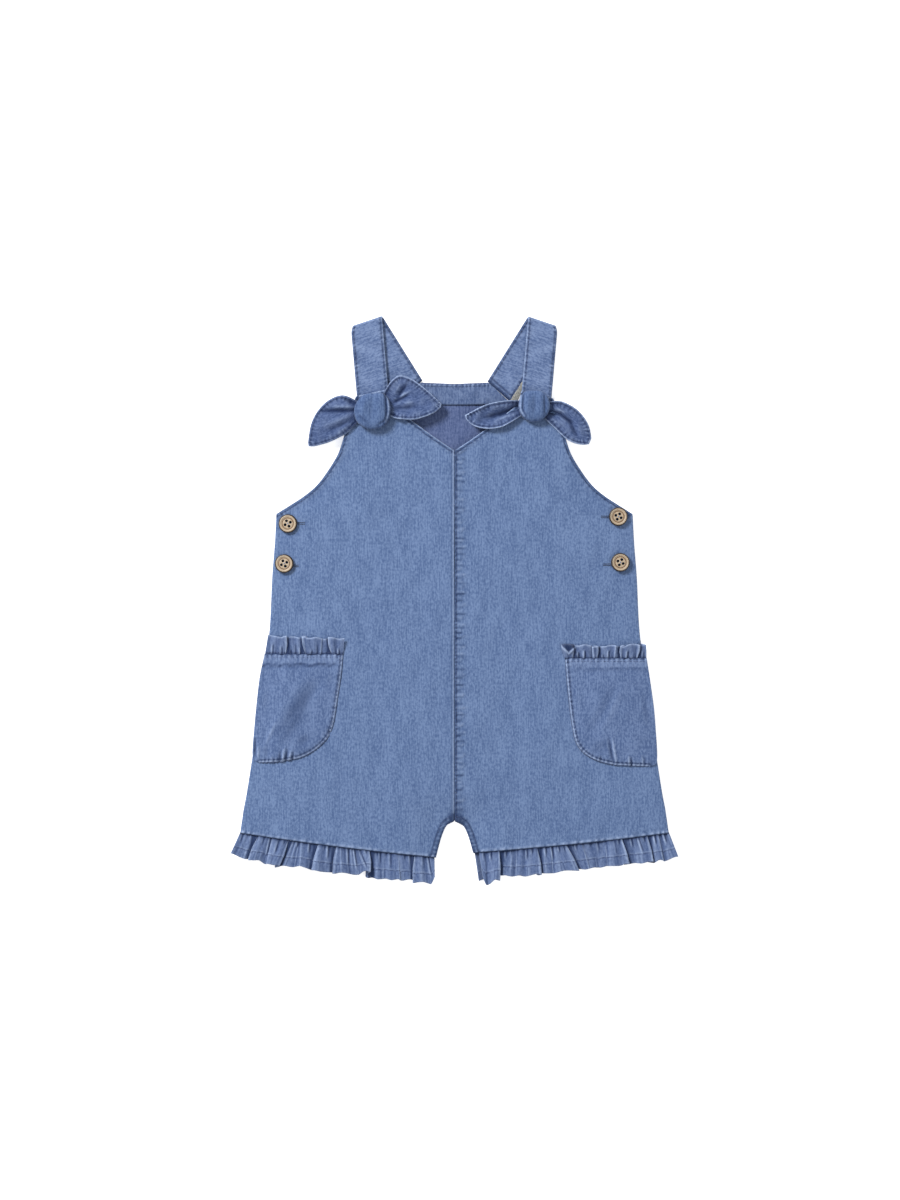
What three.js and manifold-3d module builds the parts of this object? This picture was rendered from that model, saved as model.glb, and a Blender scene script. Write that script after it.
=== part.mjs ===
// A baby romper in light chambray, laid flat on its back with its front panels up, in millimetres.
// X runs across it, Y from hem to straps and Z up from the surface it lies on. The frame's origin is
// under the middle of its outline. The layers from the surface up are: back panel, back ruffles and
// back run of each strap; neck facing; front run of each strap; front panels and front ruffles;
// pockets and buttons; bows.
import * as THREE from "three";
import { mergeVertices } from "three/addons/utils/BufferGeometryUtils.js";
import Module from "manifold-3d";

const wasm = await Module();
wasm.setup();

// Walls and gaps.
const PANEL = 1.2; // wall of the panels and straps
const LIGHT = 1.0; // wall of facing, pockets and ruffles, which are lighter
const DOUBLE = 1.4; // wall of a bow's ear, which is faced
const GAP = 0.3; // between pieces sewn together, or lying on each other

// Heights of the middle of each layer.
const BACK_Z = PANEL / 2;
const FRONT_LOW = BACK_Z + PANEL + GAP; // the front panel at its side seam
const FRONT_RISE = 2.5; // how much higher it lies down its middle and on the bib
const STRAP_FOLD = 1.2; // radius of the strap's fold over the shoulder
const BOW_Z = FRONT_LOW + FRONT_RISE + PANEL / 2 + GAP; // underside of the bows

// The right half of the front: its inner edge runs down the bib's neckline, the centre seam and the
// crotch; its outer edge down the armhole and the side seam. One row for each line across the cloth.
const FRONT_ROWS = [
  { innerX: 47.9, innerY: 150.2, outerX: 71.0, outerY: 145.2 },
  { innerX: 45.4, innerY: 141.5, outerX: 74.6, outerY: 135.0 },
  { innerX: 38.2, innerY: 135.0, outerX: 77.4, outerY: 126.0 },
  { innerX: 30.3, innerY: 128.9, outerX: 80.0, outerY: 116.5 },
  { innerX: 20.5, innerY: 121.6, outerX: 84.0, outerY: 105.0 },
  { innerX: 10.3, innerY: 114.4, outerX: 90.8, outerY: 93.6 },
  { innerX: 0.15, innerY: 107.6, outerX: 98.8, outerY: 83.0 },
  { innerX: 0.15, innerY: 99.0, outerX: 107.5, outerY: 75.4 },
  { innerX: 0.15, innerY: 90.0, outerX: 117.5, outerY: 68.8 },
  { innerX: 0.15, innerY: 80.0, outerX: 128.4, outerY: 62.0 },
  { innerX: 0.15, innerY: 48.0, outerX: 129.4, outerY: 42.0 },
  { innerX: 0.15, innerY: 16.0, outerX: 131.4, outerY: 16.0 },
  { innerX: 0.15, innerY: -22.0, outerX: 133.4, outerY: -23.0 },
  { innerX: 0.15, innerY: -60.0, outerX: 138.5, outerY: -61.0 },
  { innerX: 0.15, innerY: -100.0, outerX: 143.7, outerY: -100.0 },
  { innerX: 0.15, innerY: -135.0, outerX: 149.0, outerY: -135.0 },
  { innerX: 0.15, innerY: -159.0, outerX: 151.4, outerY: -148.0 },
  { innerX: 4.8, innerY: -163.2, outerX: 152.4, outerY: -154.0 },
  { innerX: 8.4, innerY: -169.6, outerX: 153.2, outerY: -159.5 },
  { innerX: 11.4, innerY: -176.6, outerX: 153.9, outerY: -164.0 },
  { innerX: 13.3, innerY: -182.2, outerX: 154.4, outerY: -168.0 },
];
const HEM_BOW = 1.0; // how far the hem seam bows down between its ends
const LEFT_BIB_RISE = 1.4; // the left half's bib lies this much further up
const LEFT_HEM_DROP = 3.4; // and the inner end of its hem this much further down

// The back panel's right edge, from the neck down: strap seam, armhole, side, hem, crotch.
const NECK_HALF = 24.2;
const NECK_Y = 156.8;
const NECK_DIP = 1.0;
const STRAP_SEAM = { x: 40.3, y: 142.2 };
const BACK_EDGE = [
  { x: 50.0, y: 129.0 },
  { x: 60.5, y: 116.0 },
  { x: 72.0, y: 102.0 },
  { x: 86.0, y: 87.0 },
  { x: 104.0, y: 72.5 },
  { x: 127.4, y: 61.0 },
  { x: 128.6, y: 42.0 },
  { x: 130.6, y: 16.0 },
  { x: 132.6, y: -23.0 },
  { x: 142.6, y: -100.0 },
  { x: 148.2, y: -135.0 },
  { x: 153.4, y: -167.6 },
  { x: 14.0, y: -182.6 },
  { x: 10.2, y: -170.4 },
  { x: 6.8, y: -163.9 },
  { x: 0.0, y: -159.6 },
];
const FACING_LOW = 141.0;

// Straps: one band each, from the back neck up, folded over at the shoulder and down behind the bib.
const STRAP_WIDTH = 20;
const STRAP_APEX = { x: 53.4, y: 202.6 }; // inner end of the fold
const FOLD_SLOPE = THREE.MathUtils.degToRad(18.5); // the fold falls outwards
const FOLD_TO_RUN = Math.acos(0.2332); // between the fold and either run of the band
const STRAP_FRONT_RUN = 62;

// Ears of the bows: the upper and lower edge at stations from the knot to the tip, and how high the
// middle of the wall lies over where it would lie flat on the bib, at its edges and down its middle.
const EARS = {
  bow_ear_outer_left: [
    { upX: -73.0, upY: 143.8, lowX: -72.4, lowY: 127.0, edge: 0.3, middle: 1.6 },
    { upX: -77.5, upY: 146.8, lowX: -76.5, lowY: 120.6, edge: 0.2, middle: 2.0 },
    { upX: -84.5, upY: 146.6, lowX: -83.0, lowY: 116.7, edge: 0.2, middle: 1.9 },
    { upX: -92.2, upY: 142.6, lowX: -90.5, lowY: 113.3, edge: -0.6, middle: 0.8 },
    { upX: -98.8, upY: 135.6, lowX: -98.0, lowY: 111.2, edge: -1.6, middle: -0.6 },
    { upX: -103.3, upY: 126.5, lowX: -102.6, lowY: 110.4, edge: -2.6, middle: -2.0 },
    { upX: -105.6, upY: 113.4, lowX: -105.2, lowY: 110.6, edge: -3.4, middle: -3.4 },
  ],
  bow_ear_inner_left: [
    { upX: -45.2, upY: 150.2, lowX: -44.8, lowY: 132.6, edge: 1.6, middle: 0.1 },
    { upX: -42.0, upY: 157.4, lowX: -41.4, lowY: 130.8, edge: 2.2, middle: 0.4 },
    { upX: -36.8, upY: 161.0, lowX: -36.4, lowY: 129.9, edge: 2.6, middle: 0.9 },
    { upX: -29.4, upY: 157.9, lowX: -28.2, lowY: 129.8, edge: 2.6, middle: 1.4 },
    { upX: -21.5, upY: 152.2, lowX: -20.6, lowY: 131.9, edge: 2.2, middle: 1.6 },
    { upX: -14.4, upY: 145.8, lowX: -14.4, lowY: 134.7, edge: 1.8, middle: 1.6 },
    { upX: -9.4, upY: 140.9, lowX: -9.8, lowY: 138.6, edge: 1.4, middle: 1.4 },
  ],
  bow_ear_inner_right: [
    { upX: 44.8, upY: 143.6, lowX: 44.8, lowY: 132.4, edge: 1.8, middle: 0.1 },
    { upX: 40.2, upY: 143.5, lowX: 40.6, lowY: 127.8, edge: 2.2, middle: 0.1 },
    { upX: 33.7, upY: 142.9, lowX: 33.7, lowY: 124.3, edge: 2.2, middle: 0.1 },
    { upX: 25.0, upY: 141.2, lowX: 25.4, lowY: 123.0, edge: 1.8, middle: 0.1 },
    { upX: 17.6, upY: 138.3, lowX: 18.0, lowY: 123.8, edge: 1.2, middle: 0.1 },
    { upX: 11.6, upY: 135.1, lowX: 12.2, lowY: 126.2, edge: 0.6, middle: 0.1 },
    { upX: 7.5, upY: 132.9, lowX: 8.2, lowY: 130.2, edge: 0.2, middle: 0.2 },
  ],
  bow_ear_outer_right: [
    { upX: 70.4, upY: 143.2, lowX: 68.6, lowY: 128.4, edge: 1.6, middle: 0.1 },
    { upX: 75.2, upY: 143.1, lowX: 71.6, lowY: 123.8, edge: 1.8, middle: 0.1 },
    { upX: 81.2, upY: 141.2, lowX: 76.2, lowY: 119.3, edge: 1.6, middle: 0.1 },
    { upX: 87.6, upY: 137.4, lowX: 81.2, lowY: 115.0, edge: 1.0, middle: 0.1 },
    { upX: 93.0, upY: 131.8, lowX: 86.6, lowY: 112.6, edge: 0.2, middle: -0.6 },
    { upX: 97.0, upY: 124.5, lowX: 92.2, lowY: 111.6, edge: -0.8, middle: -1.2 },
    { upX: 98.6, upY: 116.4, lowX: 96.8, lowY: 112.0, edge: -1.6, middle: -1.6 },
  ],
};
const KNOTS = {
  bow_knot_left: { x: -59.3, y: 136.3, halfX: 12.9, halfY: 13.5, height: 8.5 },
  bow_knot_right: { x: 57.4, y: 139.4, halfX: 11.4, halfY: 11.3, height: 8.0 },
};
const KNOT_BASE = -0.55; // where the knot's round body is cut flat, as a share of its half height

// Pockets, each a rounded patch with its outer side in the side seam, and the ruffle over its mouth.
const POCKETS = {
  left: [
    { innerX: -79.8, innerY: -38.9, outerX: -136.8, outerY: -38.9 },
    { innerX: -81.4, innerY: -55.0, outerX: -140.2, outerY: -55.0 },
    { innerX: -84.0, innerY: -72.0, outerX: -142.4, outerY: -73.0 },
    { innerX: -86.6, innerY: -88.0, outerX: -144.2, outerY: -92.0 },
    { innerX: -90.6, innerY: -98.8, outerX: -145.2, outerY: -104.0 },
    { innerX: -99.3, innerY: -107.7, outerX: -145.5, outerY: -110.5 },
    { innerX: -110.3, innerY: -113.6, outerX: -144.6, outerY: -114.8 },
    { innerX: -125.0, innerY: -116.9, outerX: -139.7, outerY: -117.4 },
  ],
  right: [
    { innerX: 79.3, innerY: -41.8, outerX: 138.4, outerY: -41.8 },
    { innerX: 80.6, innerY: -58.0, outerX: 141.2, outerY: -60.0 },
    { innerX: 82.5, innerY: -77.0, outerX: 143.8, outerY: -79.0 },
    { innerX: 84.6, innerY: -92.0, outerX: 145.2, outerY: -97.0 },
    { innerX: 87.4, innerY: -103.0, outerX: 145.9, outerY: -108.0 },
    { innerX: 93.6, innerY: -111.0, outerX: 145.9, outerY: -114.5 },
    { innerX: 103.4, innerY: -116.2, outerX: 144.8, outerY: -118.2 },
    { innerX: 116.0, innerY: -119.2, outerX: 139.5, outerY: -120.2 },
  ],
};
const POCKET_FULL = 1.6; // how far a pocket stands off the panel at its middle
const FRILL_STAND = 1.3; // how far a pocket's ruffle stands off the panel at its free edge
const RUFFLE_EDGE_Z = 3.9; // height of the front ruffles' free edge, between its pleats

// A ruffle's pleats, from one end to the other: the x where each leaves the seam and where it meets
// the free edge, the y of that edge before the pleat, how much it changes there, and the step down
// from the cloth before the pleat to the cloth after it.
const HEM_RUFFLES = {
  left: [
    { seam: -14.4, edge: -14.2, edgeY: -199.0, change: 0.0, step: 0.0 },
    { seam: -18.0, edge: -17.6, edgeY: -203.6, change: 0.0, step: 0.4 },
    { seam: -28.9, edge: -28.4, edgeY: -203.4, change: 1.4, step: 1.0 },
    { seam: -41.0, edge: -39.8, edgeY: -201.6, change: 0.0, step: -0.9 },
    { seam: -61.2, edge: -62.0, edgeY: -200.6, change: 5.6, step: -2.4 },
    { seam: -85.4, edge: -86.2, edgeY: -196.8, change: 0.0, step: 1.8 },
    { seam: -98.0, edge: -101.4, edgeY: -194.8, change: 1.2, step: 1.6 },
    { seam: -110.0, edge: -112.0, edgeY: -191.8, change: 0.0, step: 0.3 },
    { seam: -119.2, edge: -127.4, edgeY: -192.2, change: 1.0, step: -1.6 },
    { seam: -141.2, edge: -147.0, edgeY: -187.0, change: 0.4, step: 1.8 },
    { seam: -154.3, edge: -161.2, edgeY: -182.9, change: 0.0, step: 0.0 },
  ],
  right: [
    { seam: 17.4, edge: 20.4, edgeY: -199.4, change: 0.0, step: 0.0 },
    { seam: 22.0, edge: 23.6, edgeY: -204.3, change: 0.0, step: 0.4 },
    { seam: 32.4, edge: 31.2, edgeY: -202.0, change: 3.6, step: 2.4 },
    { seam: 44.8, edge: 44.4, edgeY: -198.8, change: 0.0, step: -0.9 },
    { seam: 59.6, edge: 61.2, edgeY: -197.8, change: 0.6, step: 1.8 },
    { seam: 80.2, edge: 88.2, edgeY: -194.6, change: 0.6, step: 2.0 },
    { seam: 108.0, edge: 110.2, edgeY: -191.8, change: 0.0, step: -0.9 },
    { seam: 120.4, edge: 124.3, edgeY: -190.4, change: 0.2, step: 2.0 },
    { seam: 138.8, edge: 141.6, edgeY: -188.8, change: 0.0, step: 1.0 },
    { seam: 154.3, edge: 161.2, edgeY: -184.8, change: 0.0, step: 0.0 },
  ],
};
const BACK_RUFFLES = {
  left: [
    { seam: -14.8, edge: -16.0, edgeY: -199.5, change: 0.0, step: 0.0 },
    { seam: -36.0, edge: -37.5, edgeY: -200.0, change: 0.0, step: 0.6 },
    { seam: -58.0, edge: -61.0, edgeY: -196.2, change: 0.0, step: -0.6 },
    { seam: -83.0, edge: -86.0, edgeY: -194.0, change: 0.0, step: 0.6 },
    { seam: -108.0, edge: -113.0, edgeY: -190.4, change: 0.0, step: 0.6 },
    { seam: -132.0, edge: -138.0, edgeY: -187.0, change: 0.0, step: -0.6 },
    { seam: -153.0, edge: -158.6, edgeY: -182.0, change: 0.0, step: 0.0 },
  ],
  right: [
    { seam: 14.4, edge: 17.5, edgeY: -202.8, change: 0.0, step: 0.0 },
    { seam: 30.0, edge: 31.5, edgeY: -198.6, change: 0.0, step: 0.6 },
    { seam: 55.0, edge: 57.0, edgeY: -195.6, change: 0.0, step: -0.6 },
    { seam: 82.0, edge: 85.0, edgeY: -192.4, change: 0.0, step: 0.6 },
    { seam: 106.0, edge: 110.0, edgeY: -190.0, change: 0.0, step: 0.6 },
    { seam: 131.0, edge: 137.0, edgeY: -187.0, change: 0.0, step: -0.6 },
    { seam: 153.0, edge: 158.8, edgeY: -183.4, change: 0.0, step: 0.0 },
  ],
};
const POCKET_RUFFLES = {
  left: [
    { seam: -80.0, edge: -79.2, edgeY: -27.6, change: 0.0, step: 0.0 },
    { seam: -88.6, edge: -89.4, edgeY: -27.2, change: 0.0, step: 1.6 },
    { seam: -96.4, edge: -95.6, edgeY: -27.8, change: 0.0, step: -1.0 },
    { seam: -107.2, edge: -108.2, edgeY: -26.6, change: 0.0, step: 1.6 },
    { seam: -121.4, edge: -122.2, edgeY: -26.4, change: 0.0, step: -1.4 },
    { seam: -136.6, edge: -134.2, edgeY: -25.8, change: 0.0, step: 0.0 },
  ],
  right: [
    { seam: 79.4, edge: 76.4, edgeY: -32.4, change: 0.0, step: 0.0 },
    { seam: 85.4, edge: 83.6, edgeY: -32.0, change: 0.0, step: 1.4 },
    { seam: 102.6, edge: 101.8, edgeY: -33.2, change: 0.0, step: 1.6 },
    { seam: 119.6, edge: 120.8, edgeY: -33.0, change: 0.0, step: -1.6 },
    { seam: 131.6, edge: 132.0, edgeY: -31.8, change: 0.0, step: 1.2 },
    { seam: 138.2, edge: 138.0, edgeY: -32.2, change: 0.0, step: 0.0 },
  ],
};
const PLEAT_TURN = 0.9; // how far along the cloth a pleat's step takes

// Buttons on the side openings, sewn to the back and through the front.
const BUTTONS = {
  button_upper_left: { x: -119.8, y: 55.0 },
  button_lower_left: { x: -122.4, y: 26.2 },
  button_upper_right: { x: 117.8, y: 60.0 },
  button_lower_right: { x: 119.3, y: 27.1 },
};
const BUTTON = { radius: 6.75, thick: 2.4, rim: 1.1, dish: 0.6, hole: 0.8, holeAt: 1.35 };

// The overlocked edge of the right armhole, which shows between the two runs of the strap.
const OVERLOCK = { width: 2.4, from: 1.0, to: 17.0 };

const FINISHES = {
  chambray: { color: 0x6c83ad, roughness: 0.9, metalness: 0 },
  inside: { color: 0x56658b, roughness: 0.95, metalness: 0 },
  ruffle: { color: 0x68799f, roughness: 0.9, metalness: 0 },
  overlock: { color: 0xa9a79b, roughness: 1, metalness: 0 },
  coconut: { color: 0xcdb491, roughness: 0.5, metalness: 0 },
};

const romper = new THREE.Group();

// Adds one named piece; its faces are turned to point out, whichever way round it was made.
function add(name, geometry, finish) {
  const at = new THREE.Vector3();
  const [b, c] = [new THREE.Vector3(), new THREE.Vector3()];
  const { position } = geometry.attributes;
  const order = [...geometry.index.array];
  let volume = 0;
  for (let i = 0; i < order.length; i += 3) {
    at.fromBufferAttribute(position, order[i]);
    b.fromBufferAttribute(position, order[i + 1]);
    c.fromBufferAttribute(position, order[i + 2]);
    volume += at.dot(b.cross(c));
  }
  if (volume < 0) geometry.setIndex(order.reverse());
  geometry.computeVertexNormals();
  const mesh = new THREE.Mesh(geometry, new THREE.MeshStandardMaterial(FINISHES[finish]));
  mesh.name = name;
  romper.add(mesh);
  return mesh;
}

// A geometry with only its positions, its shared corners merged, as booleans need.
function bare(geometry) {
  geometry.deleteAttribute("normal");
  geometry.deleteAttribute("uv");
  return mergeVertices(geometry, 1e-3);
}

// A wall of cloth: middle(u, v) gives the middle of the wall, and the way its face looks where
// that isn't up, at each u of the columns and v of the rows.
function cloth(columns, rows, middle, thickness) {
  const up = new THREE.Vector3(0, 0, 1);
  const wide = columns.length;
  const skin = wide * rows.length;
  const corners = [];
  for (const face of [thickness / 2, -thickness / 2])
    for (const v of rows)
      for (const u of columns) {
        const { x, y, z, normal = up } = middle(u, v);
        corners.push(x + normal.x * face, y + normal.y * face, z + normal.z * face);
      }
  const faces = [];
  const quad = (a, b, c, d) => faces.push(a, b, c, a, c, d);
  for (let row = 0; row + 1 < rows.length; row++)
    for (let column = 0; column + 1 < wide; column++) {
      const a = row * wide + column;
      quad(a, a + 1, a + wide + 1, a + wide);
      quad(skin + a, skin + a + wide, skin + a + wide + 1, skin + a + 1);
    }
  for (let column = 0; column + 1 < wide; column++) {
    const last = skin - wide + column;
    quad(column, skin + column, skin + column + 1, column + 1);
    quad(last, last + 1, skin + last + 1, skin + last);
  }
  for (let row = 0; row + 1 < rows.length; row++) {
    const [a, b] = [row * wide, (row + 1) * wide];
    const [c, d] = [a + wide - 1, b + wide - 1];
    quad(a, b, skin + b, skin + a);
    quad(c, skin + c, skin + d, d);
  }
  return new THREE.BufferGeometry()
    .setAttribute("position", new THREE.Float32BufferAttribute(corners, 3))
    .setIndex(faces);
}

const evenly = (count) => Array.from({ length: count + 1 }, (_, i) => i / count);
const mix = (a, b, t) => a + (b - a) * t;
const ease = (t) => THREE.MathUtils.smoothstep(t, 0, 1);

// A table's row at a share v of its length, each column read between its two nearest rows.
function between(table, v) {
  const place = v * (table.length - 1);
  const index = Math.min(Math.floor(place), table.length - 2);
  const [a, b] = [table[index], table[index + 1]];
  return Object.fromEntries(Object.keys(a).map((key) => [key, mix(a[key], b[key], place - index)]));
}

// The front's half width at a height.
function sideAt(y) {
  const index = FRONT_ROWS.findIndex((row) => row.outerY <= y);
  if (index === 0) return FRONT_ROWS[0].outerX;
  if (index < 0) return FRONT_ROWS.at(-1).outerX;
  const [above, below] = [FRONT_ROWS[index - 1], FRONT_ROWS[index]];
  return mix(above.outerX, below.outerX, (above.outerY - y) / (above.outerY - below.outerY));
}

// Height of the middle of the front's wall: low at the side seams and the inner legs, where it is
// joined to the back, higher between them, and level on the bib, which lies on the straps.
function frontZ(x, y) {
  const across = Math.min(1, Math.abs(x) / sideAt(y));
  const leg = ease((-135 - y) / 30) * (1 - ease((Math.abs(x) - 12) / 26));
  const crown = (1 - across ** 5) * (1 - leg);
  const bib = ease((y - 62) / 60);
  return FRONT_LOW + FRONT_RISE * mix(crown, 1, bib);
}

// A front row's ends on one side, where side is -1 on the left and 1 on the right.
function frontRow(side, v) {
  const row = between(FRONT_ROWS, v);
  if (side < 0) {
    row.innerY += LEFT_BIB_RISE * ease((v - 0.1) / -0.1) - LEFT_HEM_DROP * ease((v - 0.8) / 0.2);
    row.outerY += LEFT_BIB_RISE * ease((v - 0.1) / -0.1);
  }
  return row;
}

function frontPoint(side, u, v) {
  const row = frontRow(side, v);
  const sag = HEM_BOW * ease((v - 0.8) / 0.2) * 4 * u * (1 - u);
  const x = side * mix(row.innerX, row.outerX, u);
  const y = mix(row.innerY, row.outerY, u) - sag;
  return { x, y, z: frontZ(x, y) };
}

// The y of the hem seam at an x, on one side.
function hemAt(side, x) {
  const row = frontRow(side, 1);
  const u = (Math.abs(x) - row.innerX) / (row.outerX - row.innerX);
  return mix(row.innerY, row.outerY, u) - HEM_BOW * 4 * u * (1 - u);
}

// A ruffle's columns of cloth: one at each side of every pleat, one midway between two pleats.
function ruffleColumns(pleats) {
  const half = (Math.sign(pleats.at(-1).seam - pleats[0].seam) * PLEAT_TURN) / 2;
  const sides = pleats.flatMap(({ seam, edge, edgeY, change, step }) => {
    if (!step) return [{ seam, edge, edgeY, height: 0 }];
    const before = { seam: seam - half, edge: edge - half, edgeY, height: step / 2 };
    const after = { seam: seam + half, edge: edge + half, edgeY: edgeY + change, height: -step / 2 };
    return [before, after];
  });
  return sides.flatMap((side, index) => {
    const next = sides[index + 1];
    if (!next || Math.abs(next.seam - side.seam) < 2 * PLEAT_TURN) return [side];
    return [side, between([side, next], 0.5)];
  });
}

// A ruffle from its seam, at v = 0, to its free edge.
function ruffle(pleats, rows, place) {
  const columns = ruffleColumns(pleats);
  return cloth(evenly(columns.length - 1), rows, (u, v) => place(between(columns, u), v), LIGHT);
}

// The front, in two halves that meet at the centre seam.
for (const [name, side] of [
  ["left", -1],
  ["right", 1],
]) {
  const columns = [0, 0.14, 0.32, 0.52, 0.7, 0.84, 0.93, 1];
  const rows = evenly(FRONT_ROWS.length - 1);
  add(`front_panel_${name}`, cloth(columns, rows, (u, v) => frontPoint(side, u, v), PANEL), "chambray");

  const pocket = POCKETS[name];
  const lift = PANEL / 2 + GAP + LIGHT / 2;
  const pouch = (u, v) => {
    const row = between(pocket, v);
    const [x, y] = [mix(row.innerX, row.outerX, u), mix(row.innerY, row.outerY, u)];
    const full = POCKET_FULL * Math.sin(Math.PI * u) * Math.sin(Math.PI * v);
    return { x, y, z: frontZ(x, y) + lift + full };
  };
  add(`pocket_${name}`, cloth(evenly(7), evenly(pocket.length - 1), pouch, LIGHT), "chambray");

  const mouth = pocket[0].innerY + GAP;
  const frill = ({ seam, edge, edgeY, height }, v) => {
    const [x, y] = [mix(seam, edge, v), mix(mouth, edgeY, v)];
    return { x, y, z: frontZ(x, y) + lift + FRILL_STAND * mix(0.4, 1, v) + height * mix(0.3, 1, v) };
  };
  add(`pocket_ruffle_${name}`, ruffle(POCKET_RUFFLES[name], evenly(3), frill), "ruffle");

  const hem = ({ seam, edge, edgeY, height }, v) => {
    const [x, y] = [mix(seam, edge, v), mix(hemAt(side, seam) - GAP, edgeY, v)];
    const seamZ = frontZ(seam, hemAt(side, seam));
    return { x, y, z: mix(seamZ, RUFFLE_EDGE_Z, v) + height * mix(0.25, 1, v) };
  };
  add(`hem_ruffle_front_${name}`, ruffle(HEM_RUFFLES[name], evenly(4), hem), "ruffle");

  const backHem = ({ seam, edge, edgeY, height }, v) => {
    const [x, y] = [mix(seam, edge, v), mix(hemAt(1, seam) - GAP - 0.6, edgeY, v)];
    return { x, y, z: LIGHT / 2 + Math.max(0, height * v) };
  };
  add(`hem_ruffle_back_${name}`, ruffle(BACK_RUFFLES[name], evenly(3), backHem), "inside");
}

// The back panel, in one piece, and the facing inside its neck.
const neckline = (half, y) =>
  evenly(6).map((t) => new THREE.Vector2(mix(-half, half, t), y - NECK_DIP * 4 * t * (1 - t)));
const plate = (outline, depth, z) => {
  const made = new THREE.ExtrudeGeometry(new THREE.Shape(outline), { depth, bevelEnabled: false });
  return bare(made.translate(0, 0, z));
};
const edge = [STRAP_SEAM, ...BACK_EDGE].map(({ x, y }) => new THREE.Vector2(x, y));
const mirrored = edge.map(({ x, y }) => new THREE.Vector2(-x, y)).reverse().slice(1);
const back = [...neckline(NECK_HALF, NECK_Y), ...edge, ...mirrored];
add("back_panel", plate(back, PANEL, 0), "inside");

const facingSide = (t) => ({
  x: mix(NECK_HALF, STRAP_SEAM.x, t) - 0.6,
  y: mix(NECK_Y, STRAP_SEAM.y, t) - 0.6,
});
const [shoulder, corner] = [facingSide(0), facingSide(1)];
const facing = [
  ...neckline(shoulder.x, shoulder.y),
  new THREE.Vector2(corner.x, corner.y),
  ...evenly(6).map((t) => new THREE.Vector2(mix(34, -34, t), FACING_LOW - 2.4 * t * (1 - t))),
  new THREE.Vector2(-corner.x, corner.y),
];
add("back_neck_facing", plate(facing, LIGHT, PANEL + GAP), "inside");

// A strap, worked out flat on both sides of its fold line and then folded over a small round.
// along is measured down the fold line from its inner end, off square to it, more than 0 on the back.
function strapPoint(side, along, off) {
  const fold = { x: side * Math.cos(FOLD_SLOPE), y: -Math.sin(FOLD_SLOPE) };
  const down = { x: -side * Math.sin(FOLD_SLOPE), y: -Math.cos(FOLD_SLOPE) };
  const quarter = (Math.PI / 2) * STRAP_FOLD;
  const turn = THREE.MathUtils.clamp(off / STRAP_FOLD, -Math.PI / 2, Math.PI / 2);
  const run = Math.abs(off) > quarter ? Math.abs(off) - quarter : -STRAP_FOLD * Math.cos(turn);
  const out = -Math.cos(turn);
  return {
    x: side * STRAP_APEX.x + fold.x * along + down.x * run,
    y: STRAP_APEX.y + fold.y * along + down.y * run,
    z: BACK_Z + STRAP_FOLD * (1 - Math.sin(turn)),
    normal: new THREE.Vector3(down.x * out, down.y * out, -Math.sin(turn)),
  };
}

// Where the back run of a strap ends: how far off the fold its seam crosses a line along the band.
function strapSeam(side, start) {
  const seam = new THREE.Vector2(STRAP_SEAM.x - NECK_HALF, STRAP_SEAM.y - NECK_Y).normalize();
  const clear = (off) => {
    const { x, y } = strapPoint(side, start - off / Math.tan(FOLD_TO_RUN), off);
    return (side * x - NECK_HALF) * -seam.y + (y - NECK_Y) * seam.x - GAP;
  };
  const [near, far] = [20, 60];
  return near + (clear(near) / (clear(near) - clear(far))) * (far - near);
}

for (const [name, side] of [
  ["left", -1],
  ["right", 1],
]) {
  const [cos, sin] = [Math.cos(FOLD_TO_RUN), Math.sin(FOLD_TO_RUN)];
  const wide = STRAP_WIDTH / sin;
  const quarter = (Math.PI / 2) * STRAP_FOLD;
  const turns = [-1, -0.66, -0.33, 0, 0.33, 0.66, 1].map((t) => t * quarter);
  const lengths = [-STRAP_FRONT_RUN, -46, -30, -15, ...turns, 15, 30];
  const strap = (u, v) => {
    const start = wide * u;
    const end = strapSeam(side, start);
    const offs = [...lengths, mix(30, end, 0.5), end];
    const off = offs[Math.round(v * (offs.length - 1))];
    return strapPoint(side, start - (off * cos) / sin, off);
  };
  add(`strap_${name}`, cloth([0, 0.5, 1], evenly(lengths.length + 1), strap, PANEL), "chambray");
}

// The bows: a knot and two ears each.
for (const [name, stations] of Object.entries(EARS)) {
  const ear = (u, v) => {
    const { upX, upY, lowX, lowY, edge, middle } = between(stations, v);
    const z = BOW_Z + DOUBLE / 2 + mix(edge, middle, 1 - (2 * u - 1) ** 2);
    return { x: mix(lowX, upX, u), y: mix(lowY, upY, u), z };
  };
  add(name, cloth(evenly(6), evenly(stations.length - 1), ear, DOUBLE), "chambray");
}

for (const [name, { x, y, halfX, halfY, height }] of Object.entries(KNOTS)) {
  const ball = bare(new THREE.SphereGeometry(1, 18, 12).rotateX(Math.PI / 2));
  const { position } = ball.attributes;
  for (let i = 0; i < position.count; i++) position.setZ(i, Math.max(KNOT_BASE, position.getZ(i)));
  const half = height / (1 - KNOT_BASE);
  ball.scale(halfX, halfY, half);
  add(name, ball, "chambray").position.set(x, y, BOW_Z - KNOT_BASE * half);
}

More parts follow.
